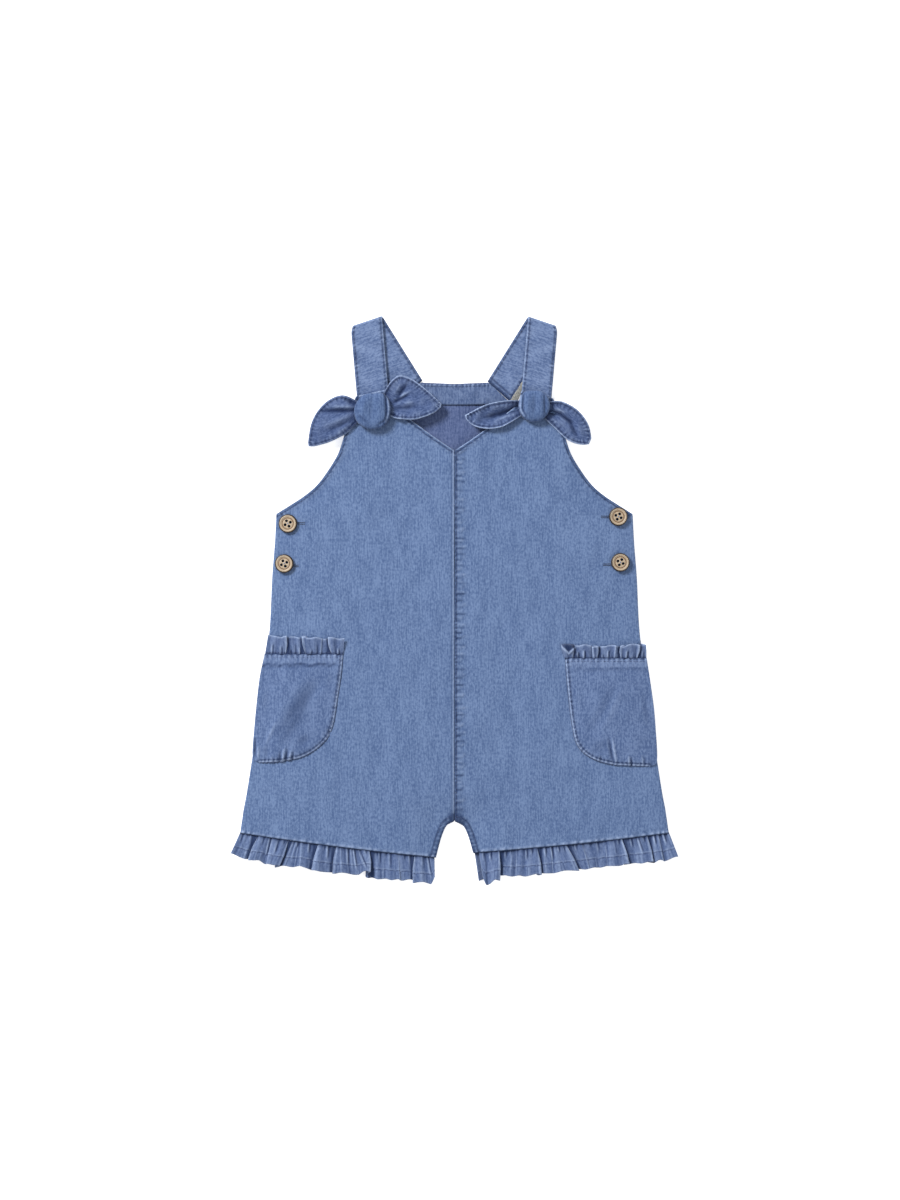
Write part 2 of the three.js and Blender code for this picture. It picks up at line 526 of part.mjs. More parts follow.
// A button: a round plate with a raised rim and four holes.
function solid(geometry) {
  const { position } = geometry.attributes;
  const mesh = { numProp: 3, vertProperties: position.array, triVerts: new Uint32Array(geometry.index.array) };
  return new wasm.Manifold(new wasm.Mesh(mesh));
}
const profile = [
  [0, 0],
  [BUTTON.radius - 1.2, 0],
  [BUTTON.radius, 0.9],
  [BUTTON.radius, BUTTON.thick - 0.5],
  [BUTTON.radius - 0.5, BUTTON.thick],
  [BUTTON.radius - BUTTON.rim, BUTTON.thick],
  [BUTTON.radius - BUTTON.rim - 0.8, BUTTON.thick - BUTTON.dish],
  [0, BUTTON.thick - BUTTON.dish],
].map(([r, z]) => new THREE.Vector2(r, z));
const disc = bare(new THREE.LatheGeometry(profile, 20).rotateX(Math.PI / 2));
let button = solid(disc);
for (const [x, y] of [
  [1, 1],
  [1, -1],
  [-1, 1],
  [-1, -1],
]) {
  const drill = bare(new THREE.CylinderGeometry(BUTTON.hole, BUTTON.hole, 9, 8).rotateX(Math.PI / 2));
  button = button.subtract(solid(drill.translate(x * BUTTON.holeAt, y * BUTTON.holeAt, 0)));
}
for (const [name, { x, y }] of Object.entries(BUTTONS)) {
  const made = button.getMesh();
  const geometry = new THREE.BufferGeometry()
    .setAttribute("position", new THREE.BufferAttribute(made.vertProperties.slice(), 3))
    .setIndex([...made.triVerts]);
  const reach = BUTTON.radius * 0.9;
  const slope = (frontZ(x + reach, y) - frontZ(x - reach, y)) / (2 * reach);
  const high = Math.max(frontZ(x, y), (frontZ(x + reach, y) + frontZ(x - reach, y)) / 2);
  const mesh = add(name, geometry, "coconut");
  mesh.position.set(x, y, high + PANEL / 2 + GAP + 0.15);
  mesh.rotation.y = -Math.atan(slope);
}

// The overlocked edge, a narrow strip along the outer side of the right strap's back run.
const [cosRun, sinRun] = [Math.cos(FOLD_TO_RUN), Math.sin(FOLD_TO_RUN)];
const stripEnd = strapSeam(1, STRAP_WIDTH / sinRun);
const strip = (u, v) => {
  const off = stripEnd - mix(OVERLOCK.from, OVERLOCK.to, v);
  const across = (STRAP_WIDTH + GAP + u * OVERLOCK.width) / sinRun;
  return { ...strapPoint(1, across - (off * cosRun) / sinRun, off), z: LIGHT / 2, normal: undefined };
};
add("armhole_overlock_right", cloth([0, 1], [0, 0.5, 1], strip, LIGHT), "overlock");

export default romper;
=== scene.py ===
"""A baby romper in light chambray, laid flat on its back on a pale floor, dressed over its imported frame.

Tables and sizes are in millimetres and are turned into metres where a mesh is made. X runs across the
romper, Y from hem to straps and Z up from the floor, as in the frame.
"""

import math

import bmesh
import bpy
import numpy as np
from mathutils import Matrix, Vector


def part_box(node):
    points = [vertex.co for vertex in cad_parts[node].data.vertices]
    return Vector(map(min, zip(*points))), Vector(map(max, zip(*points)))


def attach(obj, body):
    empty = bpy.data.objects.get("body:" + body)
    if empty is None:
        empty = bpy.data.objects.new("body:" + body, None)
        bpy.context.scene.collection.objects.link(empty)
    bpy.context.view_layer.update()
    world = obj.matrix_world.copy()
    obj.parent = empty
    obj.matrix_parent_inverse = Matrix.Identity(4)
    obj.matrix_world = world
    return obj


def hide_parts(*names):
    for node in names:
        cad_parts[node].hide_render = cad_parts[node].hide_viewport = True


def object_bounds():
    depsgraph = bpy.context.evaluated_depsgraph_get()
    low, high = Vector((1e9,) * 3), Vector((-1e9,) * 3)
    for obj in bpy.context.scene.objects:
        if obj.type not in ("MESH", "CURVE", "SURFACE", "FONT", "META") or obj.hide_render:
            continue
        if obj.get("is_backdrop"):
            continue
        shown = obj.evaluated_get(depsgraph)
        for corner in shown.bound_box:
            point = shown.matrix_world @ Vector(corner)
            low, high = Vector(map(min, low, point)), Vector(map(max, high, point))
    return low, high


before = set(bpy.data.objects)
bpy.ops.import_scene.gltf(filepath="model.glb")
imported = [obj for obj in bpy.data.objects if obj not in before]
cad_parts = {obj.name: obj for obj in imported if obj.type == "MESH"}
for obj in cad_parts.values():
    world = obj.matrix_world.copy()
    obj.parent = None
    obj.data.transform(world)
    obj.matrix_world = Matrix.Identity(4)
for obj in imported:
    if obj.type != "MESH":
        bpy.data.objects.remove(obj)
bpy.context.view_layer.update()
bpy.ops.object.select_all(action="DESELECT")
MM = 0.001

# ---- Front panels -------------------------------------------------------------------------------
# Two mirrored halves of light chambray, joined down the middle by a seam whose allowance is pressed
# to one side and topstitched. The neck, bib and armhole edges are turned under and stitched.
# One row for each line across the cloth: inner edge x and y, outer edge x and y, bib to hem.
FRONT_ROWS = np.array([
    (47.9, 150.2, 71.0, 145.2),
    (45.4, 141.5, 74.6, 135.0),
    (38.2, 135.0, 77.4, 126.0),
    (30.3, 128.9, 80.0, 116.5),
    (20.5, 121.6, 84.0, 105.0),
    (10.3, 114.4, 90.8, 93.6),
    (0.02, 107.6, 98.8, 83.0),
    (0.02, 99.0, 107.5, 75.4),
    (0.02, 90.0, 117.5, 68.8),
    (0.02, 80.0, 128.4, 62.0),
    (0.02, 48.0, 129.4, 42.0),
    (0.02, 16.0, 131.4, 16.0),
    (0.02, -22.0, 133.4, -23.0),
    (0.02, -60.0, 138.5, -61.0),
    (0.02, -100.0, 143.7, -100.0),
    (0.02, -135.0, 149.0, -135.0),
    (0.02, -159.0, 151.4, -148.0),
    (5.3, -161.6, 152.2, -152.4),
    (8.5, -166.6, 152.8, -156.8),
    (11.3, -174.6, 153.7, -162.8),
    (13.3, -182.2, 154.4, -168.0),
])
NECK_POINT, UNDERARM, CROTCH, HEM = 6, 9, 16, 20  # rows where an edge turns a corner
FRONT_SIDE_TOP = 2.7  # top of the cloth at the side seams
FRONT_RISE = 2.5  # how much higher it lies down its middle and on the bib
HEM_BOW = 1.0
LEFT_BIB_RISE = 1.4
LEFT_HEM_DROP = 3.4
FRONT_WIDE = 150
SIDES = {"left": -1, "right": 1}
# Soft creases: start x and y, end x and y, half width, height (below 0 is a trough).
FRONT_CREASES = [
    (-34, -148, -12, -166, 3.2, -0.35),
    (-30, -152, -13, -172, 2.6, 0.25),
    (16, -140, 40, -172, 4.0, 0.22),
    (-112, 40, -96, 6, 5.0, -0.25),
    (108, 44, 96, 8, 5.5, -0.25),
    (-60, 96, -72, 30, 7.0, 0.22),
    (64, 92, 80, 20, 7.5, 0.22),
    (30, 60, 34, -60, 8.0, -0.18),
    (-26, 40, -30, -90, 8.5, -0.2),
    (-70, -20, -66, -140, 9.0, 0.22),
    (66, -10, 60, -150, 9.0, 0.2),
    (-104, -130, -60, -160, 6.0, 0.2),
    (118, -134, 70, -160, 6.0, -0.2),
]
# Turned edges: width turned under, height and pitch of the puckers, and how worn the edge is.
TURNED_EDGES = {
    "neck": (3.0, 0.12, 3.6, 0.75),
    "armhole": (3.2, 0.14, 4.0, 0.05),
    "bib": (3.0, 0.12, 3.4, 1.3),
}
CROTCH_TACK = (0.6, -157.4)  # where the centre seam ends in a bar tack
BUTTON_SHADE = 3.4  # spread of the shade that a button leaves on the cloth
CHAMBRAY = (0.110, 0.173, 0.3235)


def mix(a, b, t):
    """Between two values, by a share."""
    return a + (b - a) * t


def ease(t):
    """A smooth step from 0 to 1."""
    t = np.clip(t, 0, 1)
    return t * t * (3 - 2 * t)


def stripe(gap, place, width):
    """A soft band, 1 at a place and fading out within a width on both sides of it."""
    return np.exp(-(((gap - place) / width) ** 2))


def through(rows, shares, corners=()):
    """A smooth line through rows of numbers, read at shares of their count, sharp at the corners."""
    rows = np.asarray(rows, float)
    place = np.clip(shares, 0, 1) * (len(rows) - 1)
    first = np.minimum(place.astype(int), len(rows) - 2)
    t = (place - first)[..., None]
    last = first + 1
    breaks = list(corners)
    before = np.where((first == 0) | np.isin(first, breaks), first, first - 1)
    after = np.where((last == len(rows) - 1) | np.isin(last, breaks), last, last + 1)
    a, b, c, d = rows[before], rows[first], rows[last], rows[after]
    leave, arrive = (c - a) / 2, (d - b) / 2
    return (
        (2 * t**3 - 3 * t**2 + 1) * b
        + (t**3 - 2 * t**2 + t) * leave
        + (3 * t**2 - 2 * t**3) * c
        + (t**3 - t**2) * arrive
    )


def uneven(along, pitch, seed):
    """Hills and hollows from -1 to 1 along a line, at an uneven pitch and of uneven height."""
    rng = np.random.default_rng(seed)
    count = int(np.ptp(along) / pitch * 2) + 8
    knots = np.min(along) - pitch + np.cumsum(rng.uniform(0.55, 1.45, count) * pitch / 2)
    heights = rng.uniform(0.35, 1, count) * np.where(np.arange(count) % 2, 1, -1)
    index = np.clip(np.searchsorted(knots, along) - 1, 0, count - 2)
    share = np.clip((along - knots[index]) / (knots[index + 1] - knots[index]), 0, 1)
    return mix(heights[index], heights[index + 1], ease(share))


def ripple(x, y, length, seed):
    """Smooth rises and falls from about -1 to 1 over a surface, some length across."""
    rng = np.random.default_rng(seed)
    total = 0
    for _ in range(9):
        turn, phase = rng.uniform(0, math.pi), rng.uniform(0, 2 * math.pi)
        wave = 2 * math.pi / (length * rng.uniform(0.7, 1.5))
        total = total + np.sin((x * math.cos(turn) + y * math.sin(turn)) * wave + phase)
    return total / 4.5


def near(x, y, line):
    """How far each point is from a line of points, and how far along the line it is."""
    start, step = line[:-1], np.diff(line, axis=0)
    length = np.hypot(step[:, 0], step[:, 1])
    before = np.concatenate([[0], np.cumsum(length)[:-1]])
    reach = np.stack([x, y], -1)[..., None, :] - start
    share = np.clip((reach * step).sum(-1) / length**2, 0, 1)
    gap = np.linalg.norm(reach - share[..., None] * step, axis=-1)
    best = gap.argmin(-1)[..., None]
    along = np.take_along_axis(before + share * length, best, -1)
    return np.take_along_axis(gap, best, -1)[..., 0], along[..., 0]


def creases(x, y, table):
    """The height that a table of soft creases adds; each fades out towards its two ends."""
    total = np.zeros(np.shape(x))
    for start_x, start_y, end_x, end_y, half_width, height in table:
        line = np.array([(start_x, start_y), (end_x, end_y)], float)
        gap, along = near(x, y, line)
        fade = np.sin(math.pi * np.clip(along / np.hypot(*(line[1] - line[0])), 0.04, 0.96))
        total += height * fade * stripe(gap, 0, half_width)
    return total


def spaced(length, fine, coarse, margin):
    """Shares of a length, close together within a margin of both ends."""
    ends = np.arange(0, margin, fine)
    middle = np.linspace(margin, length - margin, int((length - 2 * margin) / coarse) + 2)
    return np.concatenate([ends, middle, length - ends[::-1]]) / length


def front_outline(side, v):
    """Inner edge x, y and outer edge x, y of one half, at a share v from bib to hem."""
    inner = through(FRONT_ROWS[:, :2], v, (NECK_POINT, CROTCH))
    outer = through(FRONT_ROWS[:, 2:], v, (UNDERARM,))
    if side < 0:
        rise = LEFT_BIB_RISE * ease((v - 0.1) / -0.1)
        inner[..., 1] += rise - LEFT_HEM_DROP * ease((v - 0.8) / 0.2)
        outer[..., 1] += rise
    inner[..., 0] *= side
    outer[..., 0] *= side
    return inner, outer


def front_xy(side, u, v):
    inner, outer = front_outline(side, v)
    x, y = mix(inner[..., 0], outer[..., 0], u), mix(inner[..., 1], outer[..., 1], u)
    return x, y - HEM_BOW * ease((v - 0.8) / 0.2) * 4 * u * (1 - u)


def front_base(x, y):
    """Height of the front's cloth before its creases: low at the side seams and inner legs."""
    across = np.minimum(1, np.abs(x) / np.interp(-y, -FRONT_ROWS[:, 3], FRONT_ROWS[:, 2]))
    leg = ease((-135 - y) / 30) * (1 - ease((np.abs(x) - 12) / 26))
    crown = (1 - across**5) * (1 - leg)
    return FRONT_SIDE_TOP + FRONT_RISE * mix(crown, 1, ease((y - 62) / 60))


def row_shares(first, last, count=60):
    """Shares down the front from one of its rows to another."""
    return np.linspace(first, last, count) / (len(FRONT_ROWS) - 1)


def front_edge(side, which, first, last):
    """A line along the inner (0) or outer (1) edge of one half, from one row to another."""
    return front_outline(side, row_shares(first, last))[which]


front_edges = {}
for name, side in SIDES.items():
    hem_u = np.linspace(0, 1, 60)
    front_edges[name] = {
        "neck": front_edge(side, 0, 0, NECK_POINT),
        "centre": front_edge(side, 0, NECK_POINT, CROTCH),
        "crotch": front_edge(side, 0, CROTCH, HEM),
        "armhole": front_edge(side, 1, 0, UNDERARM),
        "side": front_edge(side, 1, UNDERARM, HEM),
        "bib": np.stack(front_xy(side, hem_u, np.zeros(60)), -1),
        "hem": np.stack(front_xy(side, hem_u, np.ones(60)), -1),
    }


def front_relief(side, x, y):
    """Creases, turned edges and puckers: the height they add, and how worn and how dark they are; the
    darkness holds painted shade along the armhole and hem edges and round the buttons.
    """
    name = "right" if side > 0 else "left"
    seed = 11 if side > 0 else 12
    lift = 0.3 * ripple(x, y * 0.45, 46, seed) + 0.07 * ripple(x, y * 0.5, 13, seed + 2)
    lift += creases(x, y, FRONT_CREASES)
    wear_and_highlight, dark = np.zeros(x.shape), np.zeros(x.shape)
    for edge, (turned, pucker, pitch, worn) in TURNED_EDGES.items():
        gap, along = near(x, y, front_edges[name][edge])
        hills = uneven(along, pitch, seed + len(edge))
        band = stripe(gap, 2.6, 2.0)
        lift += 0.3 * (1 - ease((gap - turned) / 1.2)) + pucker * hills * band
        lift -= 0.55 * np.exp(-gap / 0.35)
        wear_and_highlight += worn * (0.8 + 0.25 * hills) * stripe(gap, 0, 0.5)
        wear_and_highlight += 0.26 * np.maximum(hills, 0) * band
        groove = stripe(gap, 1.7, 0.75) * (0.65 + 0.6 * uneven(along, 2.4, seed + 3))
        dark += 1.3 * groove + 0.42 * np.maximum(-hills, 0) * band
        # A dark line along the armhole's edge: painted shade where the edge rolls under.
        if edge == "armhole":
            dark += 0.65 * stripe(gap, 0, 0.7)
    gap, along = near(x, y, front_edges[name]["centre"])
    lift -= 0.4 * np.exp(-gap / 0.3)
    if side > 0:
        hills = uneven(along, 4.3, 5)
        reach = 4.6 + 2.4 * uneven(along, 7.0, 6)
        band = ease((gap - 0.5) / 0.8) * (1 - ease((gap - reach) / 2.2))
        lift += 0.36 * band + 0.22 * hills * band
        wear_and_highlight += 0.34 * np.maximum(hills, 0) * band * ease((gap - 1) / 1)
        dark += 0.95 * np.maximum(-hills, 0) ** 1.3 * band + 0.06 * band
        dark += 1.6 * stripe(gap, 0.95, 0.8) * (0.7 + 0.6 * uneven(along, 2.2, 7))
    else:
        wear_and_highlight += 0.8 * stripe(gap, 0.95, 0.4) * (0.85 + 0.2 * uneven(along, 5.0, 8))
        dark += 0.5 * stripe(gap, 2.0, 0.5)
    gap, along = near(x, y, front_edges[name]["crotch"])
    hills = uneven(along, 3.2, seed + 9)
    band = 1 - ease((gap - 3.2) / 1.4)
    lift += 0.2 * band + 0.16 * hills * band - 0.5 * np.exp(-gap / 0.5)
    dark += band * (0.5 - 0.5 * np.maximum(hills, 0)) + 0.75 * stripe(gap, 4.1, 0.6)
    dark += 0.6 * stripe(gap, 0.9, 0.6)
    wear_and_highlight += 0.3 * np.maximum(hills, 0) * band
    tack = np.hypot(x - CROTCH_TACK[0], y - CROTCH_TACK[1])
    dark += 1.1 * stripe(tack, 0, 3.0) + 0.45 * stripe(tack, 0, 6.0)
    gap, along = near(x, y, front_edges[name]["hem"])
    hills = uneven(along, 3.4, seed + 15)
    pulls = uneven(along, 5.6, seed + 16)
    reach = 2.0 + 1.6 * uneven(along, 6.4, seed + 17)
    lift += 0.2 * hills * np.exp(-gap / 2.6) + 0.25 * (1 - ease((gap - 0.4) / 2.2))
    lift += 0.14 * pulls * (1 - ease((gap - 3) / 6))
    lift -= 0.5 * np.exp(-gap / 0.5)
    wear_and_highlight += (0.35 + 0.6 * hills) * stripe(gap, 1.3, 0.65)
    wear_and_highlight += 0.26 * np.maximum(pulls, 0) * (1 - ease((gap - reach) / 2))
    dark += 0.45 * np.maximum(-hills, 0) * (1 - ease((gap - reach) / 1.6))
    # A dark line along the hem's edge: painted shade where the edge rolls under.
    dark += 0.95 * stripe(gap, 0, 0.55)
    gap, along = near(x, y, front_edges[name]["side"])
    lift -= 0.4 * np.exp(-gap / 0.6)
    # Round each button the cloth is darkened: painted shadow, which also shows through its holes.
    for place in ("upper", "lower"):
        under = sum(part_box(f"button_{place}_{name}"), Vector()) / 2 / MM
        dark += stripe(np.hypot(x - under.x, y - under.y), 0, BUTTON_SHADE)
    return lift, wear_and_highlight, dark


def front_top(side, x, y):
    """Points on the upper face of a front panel."""
    return np.stack([x, y, front_base(x, y) + front_relief(side, x, y)[0]], -1)


def lengths(points, axis):
    """How far each point of a grid is along its row or column."""
    steps = np.linalg.norm(np.diff(points, axis=axis), axis=-1)
    return np.insert(np.cumsum(steps, axis=axis), 0, 0, axis=axis)


def bend(points, axis):
    """How sharply a grid bends along one axis, in 1/mm: below 0 on ridges, above 0 in valleys."""
    grid = np.moveaxis(points, axis, 0)
    steps = np.diff(grid, axis=0)
    long = np.maximum(np.linalg.norm(steps, axis=-1, keepdims=True), 0.05)
    turn = 2 * (steps[1:] / long[1:] - steps[:-1] / long[:-1]) / (long[1:] + long[:-1])
    normal = np.cross(np.gradient(points, axis=0), np.gradient(points, axis=1))
    normal /= np.maximum(np.linalg.norm(normal, axis=-1, keepdims=True), 1e-9)
    normal *= np.sign(normal[..., 2].sum())
    value = (turn * np.moveaxis(normal, axis, 0)[1:-1]).sum(-1)
    return np.moveaxis(np.pad(value, ((1, 1), (0, 0))), 0, axis)


def cloth(
    name, points, material, wall=0.7, middle=False, worn=(0, 0, 0, 0), wear_and_highlight=0, dark=0, along=None, keep=None
):
    """A sheet of cloth through a grid of points, its wall under them or with them in its middle.
    worn says how pale its first and last rows and columns are; wear and dark are for each point, the
    paleness from worn threads and in places painted highlight, the darkness from dye and seams and in places
    painted shade; along gives the threads' own places, and keep the quads to make."""
    rows, columns = points.shape[:2]
    index = np.arange(rows * columns).reshape(rows, columns)
    quads = np.stack([index[:-1, :-1], index[:-1, 1:], index[1:, 1:], index[1:, :-1]], -1)
    if keep is not None:
        quads = quads[keep]
    diagonals = np.cross(points[1:, 1:] - points[:-1, :-1], points[1:, :-1] - points[:-1, 1:])
    if diagonals[..., 2].sum() < 0:
        quads = quads[..., ::-1]
    mesh = bpy.data.meshes.new(name)
    mesh.from_pydata((points.reshape(-1, 3) * MM).tolist(), [], quads.reshape(-1, 4).tolist())
    down, across = lengths(points, 0), lengths(points, 1)
    curve = bend(points, 0) + bend(points, 1)
    # Paler on ridges, worn by the wash; darker in valleys, partly dye the wash has left and partly painted
    # shade.
    pale = wear_and_highlight + 0.55 * np.clip(-curve - 0.3, 0, 0.9)
    deep = dark + 0.5 * np.clip(curve - 0.2, 0, 0.9)
    for strength, gap in zip(worn, (down, down[-1:] - down, across, across[:, -1:] - across)):
        pale = pale + strength * stripe(gap, 0, 0.8)
    for attribute, value in (("wear_and_highlight", pale), ("dark", deep)):
        layer = mesh.attributes.new(attribute, "FLOAT", "POINT")
        layer.data.foreach_set("value", np.clip(value, 0, 1).astype(np.float32).ravel())
    flat = points[..., :2] if along is None else along
    corner = np.empty(len(mesh.loops), np.int32)
    mesh.loops.foreach_get("vertex_index", corner)
    threads = mesh.uv_layers.new(name="threads")
    threads.data.foreach_set("uv", (flat.reshape(-1, 2) * MM)[corner].astype(np.float32).ravel())
    piece = bpy.data.objects.new(name, mesh)
    bpy.context.scene.collection.objects.link(piece)
    mesh.materials.append(material)
    mesh.shade_smooth()
    thicken = piece.modifiers.new("wall", "SOLIDIFY")
    thicken.thickness = wall * MM
    thicken.offset = 0 if middle else -1
    bpy.context.view_layer.objects.active = piece
    bpy.ops.object.modifier_apply(modifier="wall")
    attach(piece, "root")
    return piece


def chambray(name, colour, contrast=1.0):
    """Chambray: indigo warp over a white weft, in uneven threads, paler where it is worn and where a
    highlight is painted, darker where dye and seams are and where shade is painted.
    """
    material = bpy.data.materials.new(name)
    material.use_nodes = True
    tree = material.node_tree
    shader = tree.nodes["Principled BSDF"]
    shader.inputs["Roughness"].default_value = 0.92
    shader.inputs["Specular IOR Level"].default_value = 0.15
    shader.inputs["Sheen Weight"].default_value = 0.12
    shader.inputs["Sheen Roughness"].default_value = 0.45
    threads = tree.nodes.new("ShaderNodeUVMap")
    threads.uv_map = "threads"

    def noise(across, along, detail):
        """Noise whose grain is so many metres across and along the warp."""
        place = tree.nodes.new("ShaderNodeMapping")
        place.inputs["Scale"].default_value = (1 / across, 1 / along, 1)
        tree.links.new(threads.outputs["UV"], place.inputs["Vector"])
        grain = tree.nodes.new("ShaderNodeTexNoise")
        grain.inputs["Scale"].default_value = 1
        grain.inputs["Detail"].default_value = detail
        tree.links.new(place.outputs["Vector"], grain.inputs["Vector"])
        return grain.outputs["Fac"]

    def maths(operation, first, second):
        node = tree.nodes.new("ShaderNodeMath")
        node.operation = operation
        for socket, value in zip(node.inputs, (first, second)):
            if isinstance(value, (int, float)):
                socket.default_value = value
            else:
                tree.links.new(value, socket)
        return node.outputs["Value"]

    def blend(factor, first, second):
        node = tree.nodes.new("ShaderNodeMix")
        node.data_type = "RGBA"
        tree.links.new(factor, node.inputs["Factor"])
        for socket, value in (("A", first), ("B", second)):
            end = [s for s in node.inputs if s.name == socket and s.type == "RGBA"][0]
            if isinstance(value, tuple):
                end.default_value = (*value, 1)
            else:
                tree.links.new(value, end)
        return [s for s in node.outputs if s.type == "RGBA"][0]

    def attribute(attribute_name):
        node = tree.nodes.new("ShaderNodeAttribute")
        node.attribute_name = attribute_name
        return node.outputs["Fac"]

    slub = noise(0.0008, 0.0100, 2)
    mottle = noise(0.0014, 0.0021, 2)
    patch = noise(0.009, 0.030, 2)
    weave = noise(0.00035, 0.0005, 1)
    tone = 0.5
    for grain, weight in ((slub, 1.7), (mottle, 2.2), (patch, 1.0), (weave, 1.3)):
        tone = maths("ADD", tone, maths("MULTIPLY", maths("SUBTRACT", grain, 0.5), weight * contrast))
    dim = tuple(c * k for c, k in zip(colour, (0.66, 0.70, 0.78)))
    bright = tuple(c * k for c, k in zip(colour, (1.42, 1.33, 1.24)))
    cloth_colour = blend(tone, dim, bright)
    # Pale marks: worn threads and, in places, painted highlight. Dark marks: dye, seams and, in places,
    # painted shade.
    fray_and_highlight = maths("MULTIPLY", attribute("wear_and_highlight"), maths("ADD", 0.35, maths("MULTIPLY", mottle, 1.1)))
    worn_and_highlit_colour = blend(fray_and_highlight, cloth_colour, (0.34, 0.43, 0.63))
    depth = maths("MULTIPLY", attribute("dark"), maths("ADD", 0.55, maths("MULTIPLY", slub, 0.7)))
    deep = tuple(c * k for c, k in zip(colour, (0.13, 0.18, 0.28)))
    tree.links.new(blend(depth, worn_and_highlit_colour, deep), shader.inputs["Base Color"])
    height = maths("ADD", maths("MULTIPLY", slub, 0.7), weave)
    bump = tree.nodes.new("ShaderNodeBump")
    bump.inputs["Strength"].default_value = 0.35
    bump.inputs["Distance"].default_value = 0.0002
    tree.links.new(height, bump.inputs["Height"])
    tree.links.new(bump.outputs["Normal"], shader.inputs["Normal"])
    return material


front_cloth = chambray("front_chambray", CHAMBRAY)
columns = spaced(FRONT_WIDE, 0.75, 2.3, 8)
outline_v = np.linspace(0, 1, 1200)
outline_length = lengths(front_xy(1, 0.5, outline_v)[1][:, None, None], 0)[:, 0]
row_v = np.interp(spaced(outline_length[-1], 0.8, 1.25, 6) * outline_length[-1], outline_length, outline_v)
front_panels = {}
for name, side in SIDES.items():
    x, y = front_xy(side, columns[None, :], row_v[:, None])
    _, wear_and_highlight, dark = front_relief(side, x, y)
    panel = cloth(f"front_panel_{name}_cloth", front_top(side, x, y), front_cloth, wear_and_highlight=wear_and_highlight, dark=dark)
    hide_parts(f"front_panel_{name}")
    front_panels[name] = panel

# ---- Stitching ----------------------------------------------------------------------------------
# Blue polyester thread, lockstitched at about ten stitches to the inch. Each visible stitch is a
# short rounded length of thread that lies on the cloth, sunk a little at both ends.
STITCH = {"pitch": 2.4, "share": 0.66, "radius": 0.2}
THREAD_SIDES = 5
# The rings of a stitch: share of its length, and girth and height as shares of its radius.
STITCH_RINGS = ((0, 0.25, -0.3), (0.22, 0.95, 0.45), (0.78, 0.95, 0.45), (1, 0.25, -0.3))


def thread_material(name, colour, roughness=0.55):
    """Spun thread with a soft lustre and a fine twist in its tone."""
    material = bpy.data.materials.new(name)
    material.use_nodes = True
    tree = material.node_tree
    shader = tree.nodes["Principled BSDF"]
    shader.inputs["Roughness"].default_value = roughness
    shader.inputs["Sheen Weight"].default_value = 0.1
    place = tree.nodes.new("ShaderNodeTexCoord")
    grain = tree.nodes.new("ShaderNodeTexNoise")
    grain.inputs["Scale"].default_value = 900
    tree.links.new(place.outputs["Object"], grain.inputs["Vector"])
    ramp = tree.nodes.new("ShaderNodeValToRGB")
    ramp.color_ramp.elements[0].color = (*(c * 0.6 for c in colour), 1)
    ramp.color_ramp.elements[1].color = (*(min(1, c * 1.4) for c in colour), 1)
    tree.links.new(grain.outputs["Fac"], ramp.inputs["Fac"])
    tree.links.new(ramp.outputs["Color"], shader.inputs["Base Color"])
    return material


def stitches(name, lines, material, pitch=STITCH["pitch"], share=STITCH["share"], radius=STITCH["radius"]):
    """Stitches of thread along lines of surface points, made as one piece."""
    pairs = []
    for line in lines:
        reach = lengths(np.asarray(line)[:, None], 0)[:, 0]
        count = max(1, int(reach[-1] / pitch))
        begin = (np.arange(count) + (1 - share) / 2) * reach[-1] / count
        both = np.stack([begin, begin + share * reach[-1] / count])
        pairs.append(np.stack([np.interp(both, reach, line[:, axis]) for axis in range(3)], -1))
    start, end = np.concatenate(pairs, axis=1)
    lead = end - start
    long = np.linalg.norm(lead, axis=-1, keepdims=True)
    lead = lead / long
    aside = np.cross(lead, (0, 0, 1))
    aside /= np.linalg.norm(aside, axis=-1, keepdims=True)
    up = np.cross(aside, lead)
    rings = []
    for share_along, girth, raised in STITCH_RINGS:
        middle = start + lead * long * share_along + up * raised * radius
        for turn in np.arange(THREAD_SIDES) / THREAD_SIDES * 2 * math.pi:
            rings.append(middle + (aside * math.cos(turn) + up * math.sin(turn)) * radius * girth)
    points = np.stack(rings, 1)
    corners = len(STITCH_RINGS) * THREAD_SIDES
    faces = []
    for first in range(0, corners - THREAD_SIDES, THREAD_SIDES):
        for k in range(THREAD_SIDES):
            a, b = first + k, first + (k + 1) % THREAD_SIDES
            faces.append((a, b, b + THREAD_SIDES, a + THREAD_SIDES))
    offsets = np.arange(len(points))[:, None, None] * corners
    quads = (np.array(faces) + offsets).reshape(-1, 4).tolist()
    caps = [list(range(THREAD_SIDES))[::-1], list(range(corners - THREAD_SIDES, corners))]
    ends_of = [[i * corners + k for k in cap] for i in range(len(points)) for cap in caps]
    mesh = bpy.data.meshes.new(name)
    mesh.from_pydata((points.reshape(-1, 3) * MM).tolist(), [], quads + ends_of)
    made = bmesh.new()
    made.from_mesh(mesh)
    bmesh.ops.recalc_face_normals(made, faces=made.faces)
    made.to_mesh(mesh)
    made.free()
    mesh.materials.append(material)
    mesh.shade_smooth()
    piece = bpy.data.objects.new(name, mesh)
    bpy.context.scene.collection.objects.link(piece)
    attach(piece, "root")
    return piece


def beside(line, shift):
    """A line of x and y points moved sideways."""
    step = np.gradient(line, axis=0)
    step /= np.linalg.norm(step, axis=-1, keepdims=True)
    return line + shift * np.stack([-step[:, 1], step[:, 0]], -1)


blue_thread = thread_material("blue_thread", (0.035, 0.06, 0.16))
for name, side in SIDES.items():
    edges = front_edges[name]
    lines = [
        beside(edges["neck"], side * 1.9),
        beside(edges["armhole"], -side * 2.1),
        beside(edges["bib"], -side * 1.9)[2:-2],
        beside(edges["crotch"], side * 3.6),
    ]
    if side > 0:
        lines.append(beside(edges["centre"], 1.15)[1:-1])
        for tack_y in np.arange(-157.9, -155.4, 0.5):  # the bar tack at the crotch
            lines.append(np.array([(0.2, tack_y), (2.4, tack_y + 0.1)]))
    lines = [front_top(side, line[:, 0], line[:, 1]) for line in lines]
    stitches(f"front_stitching_{name}", lines, blue_thread)

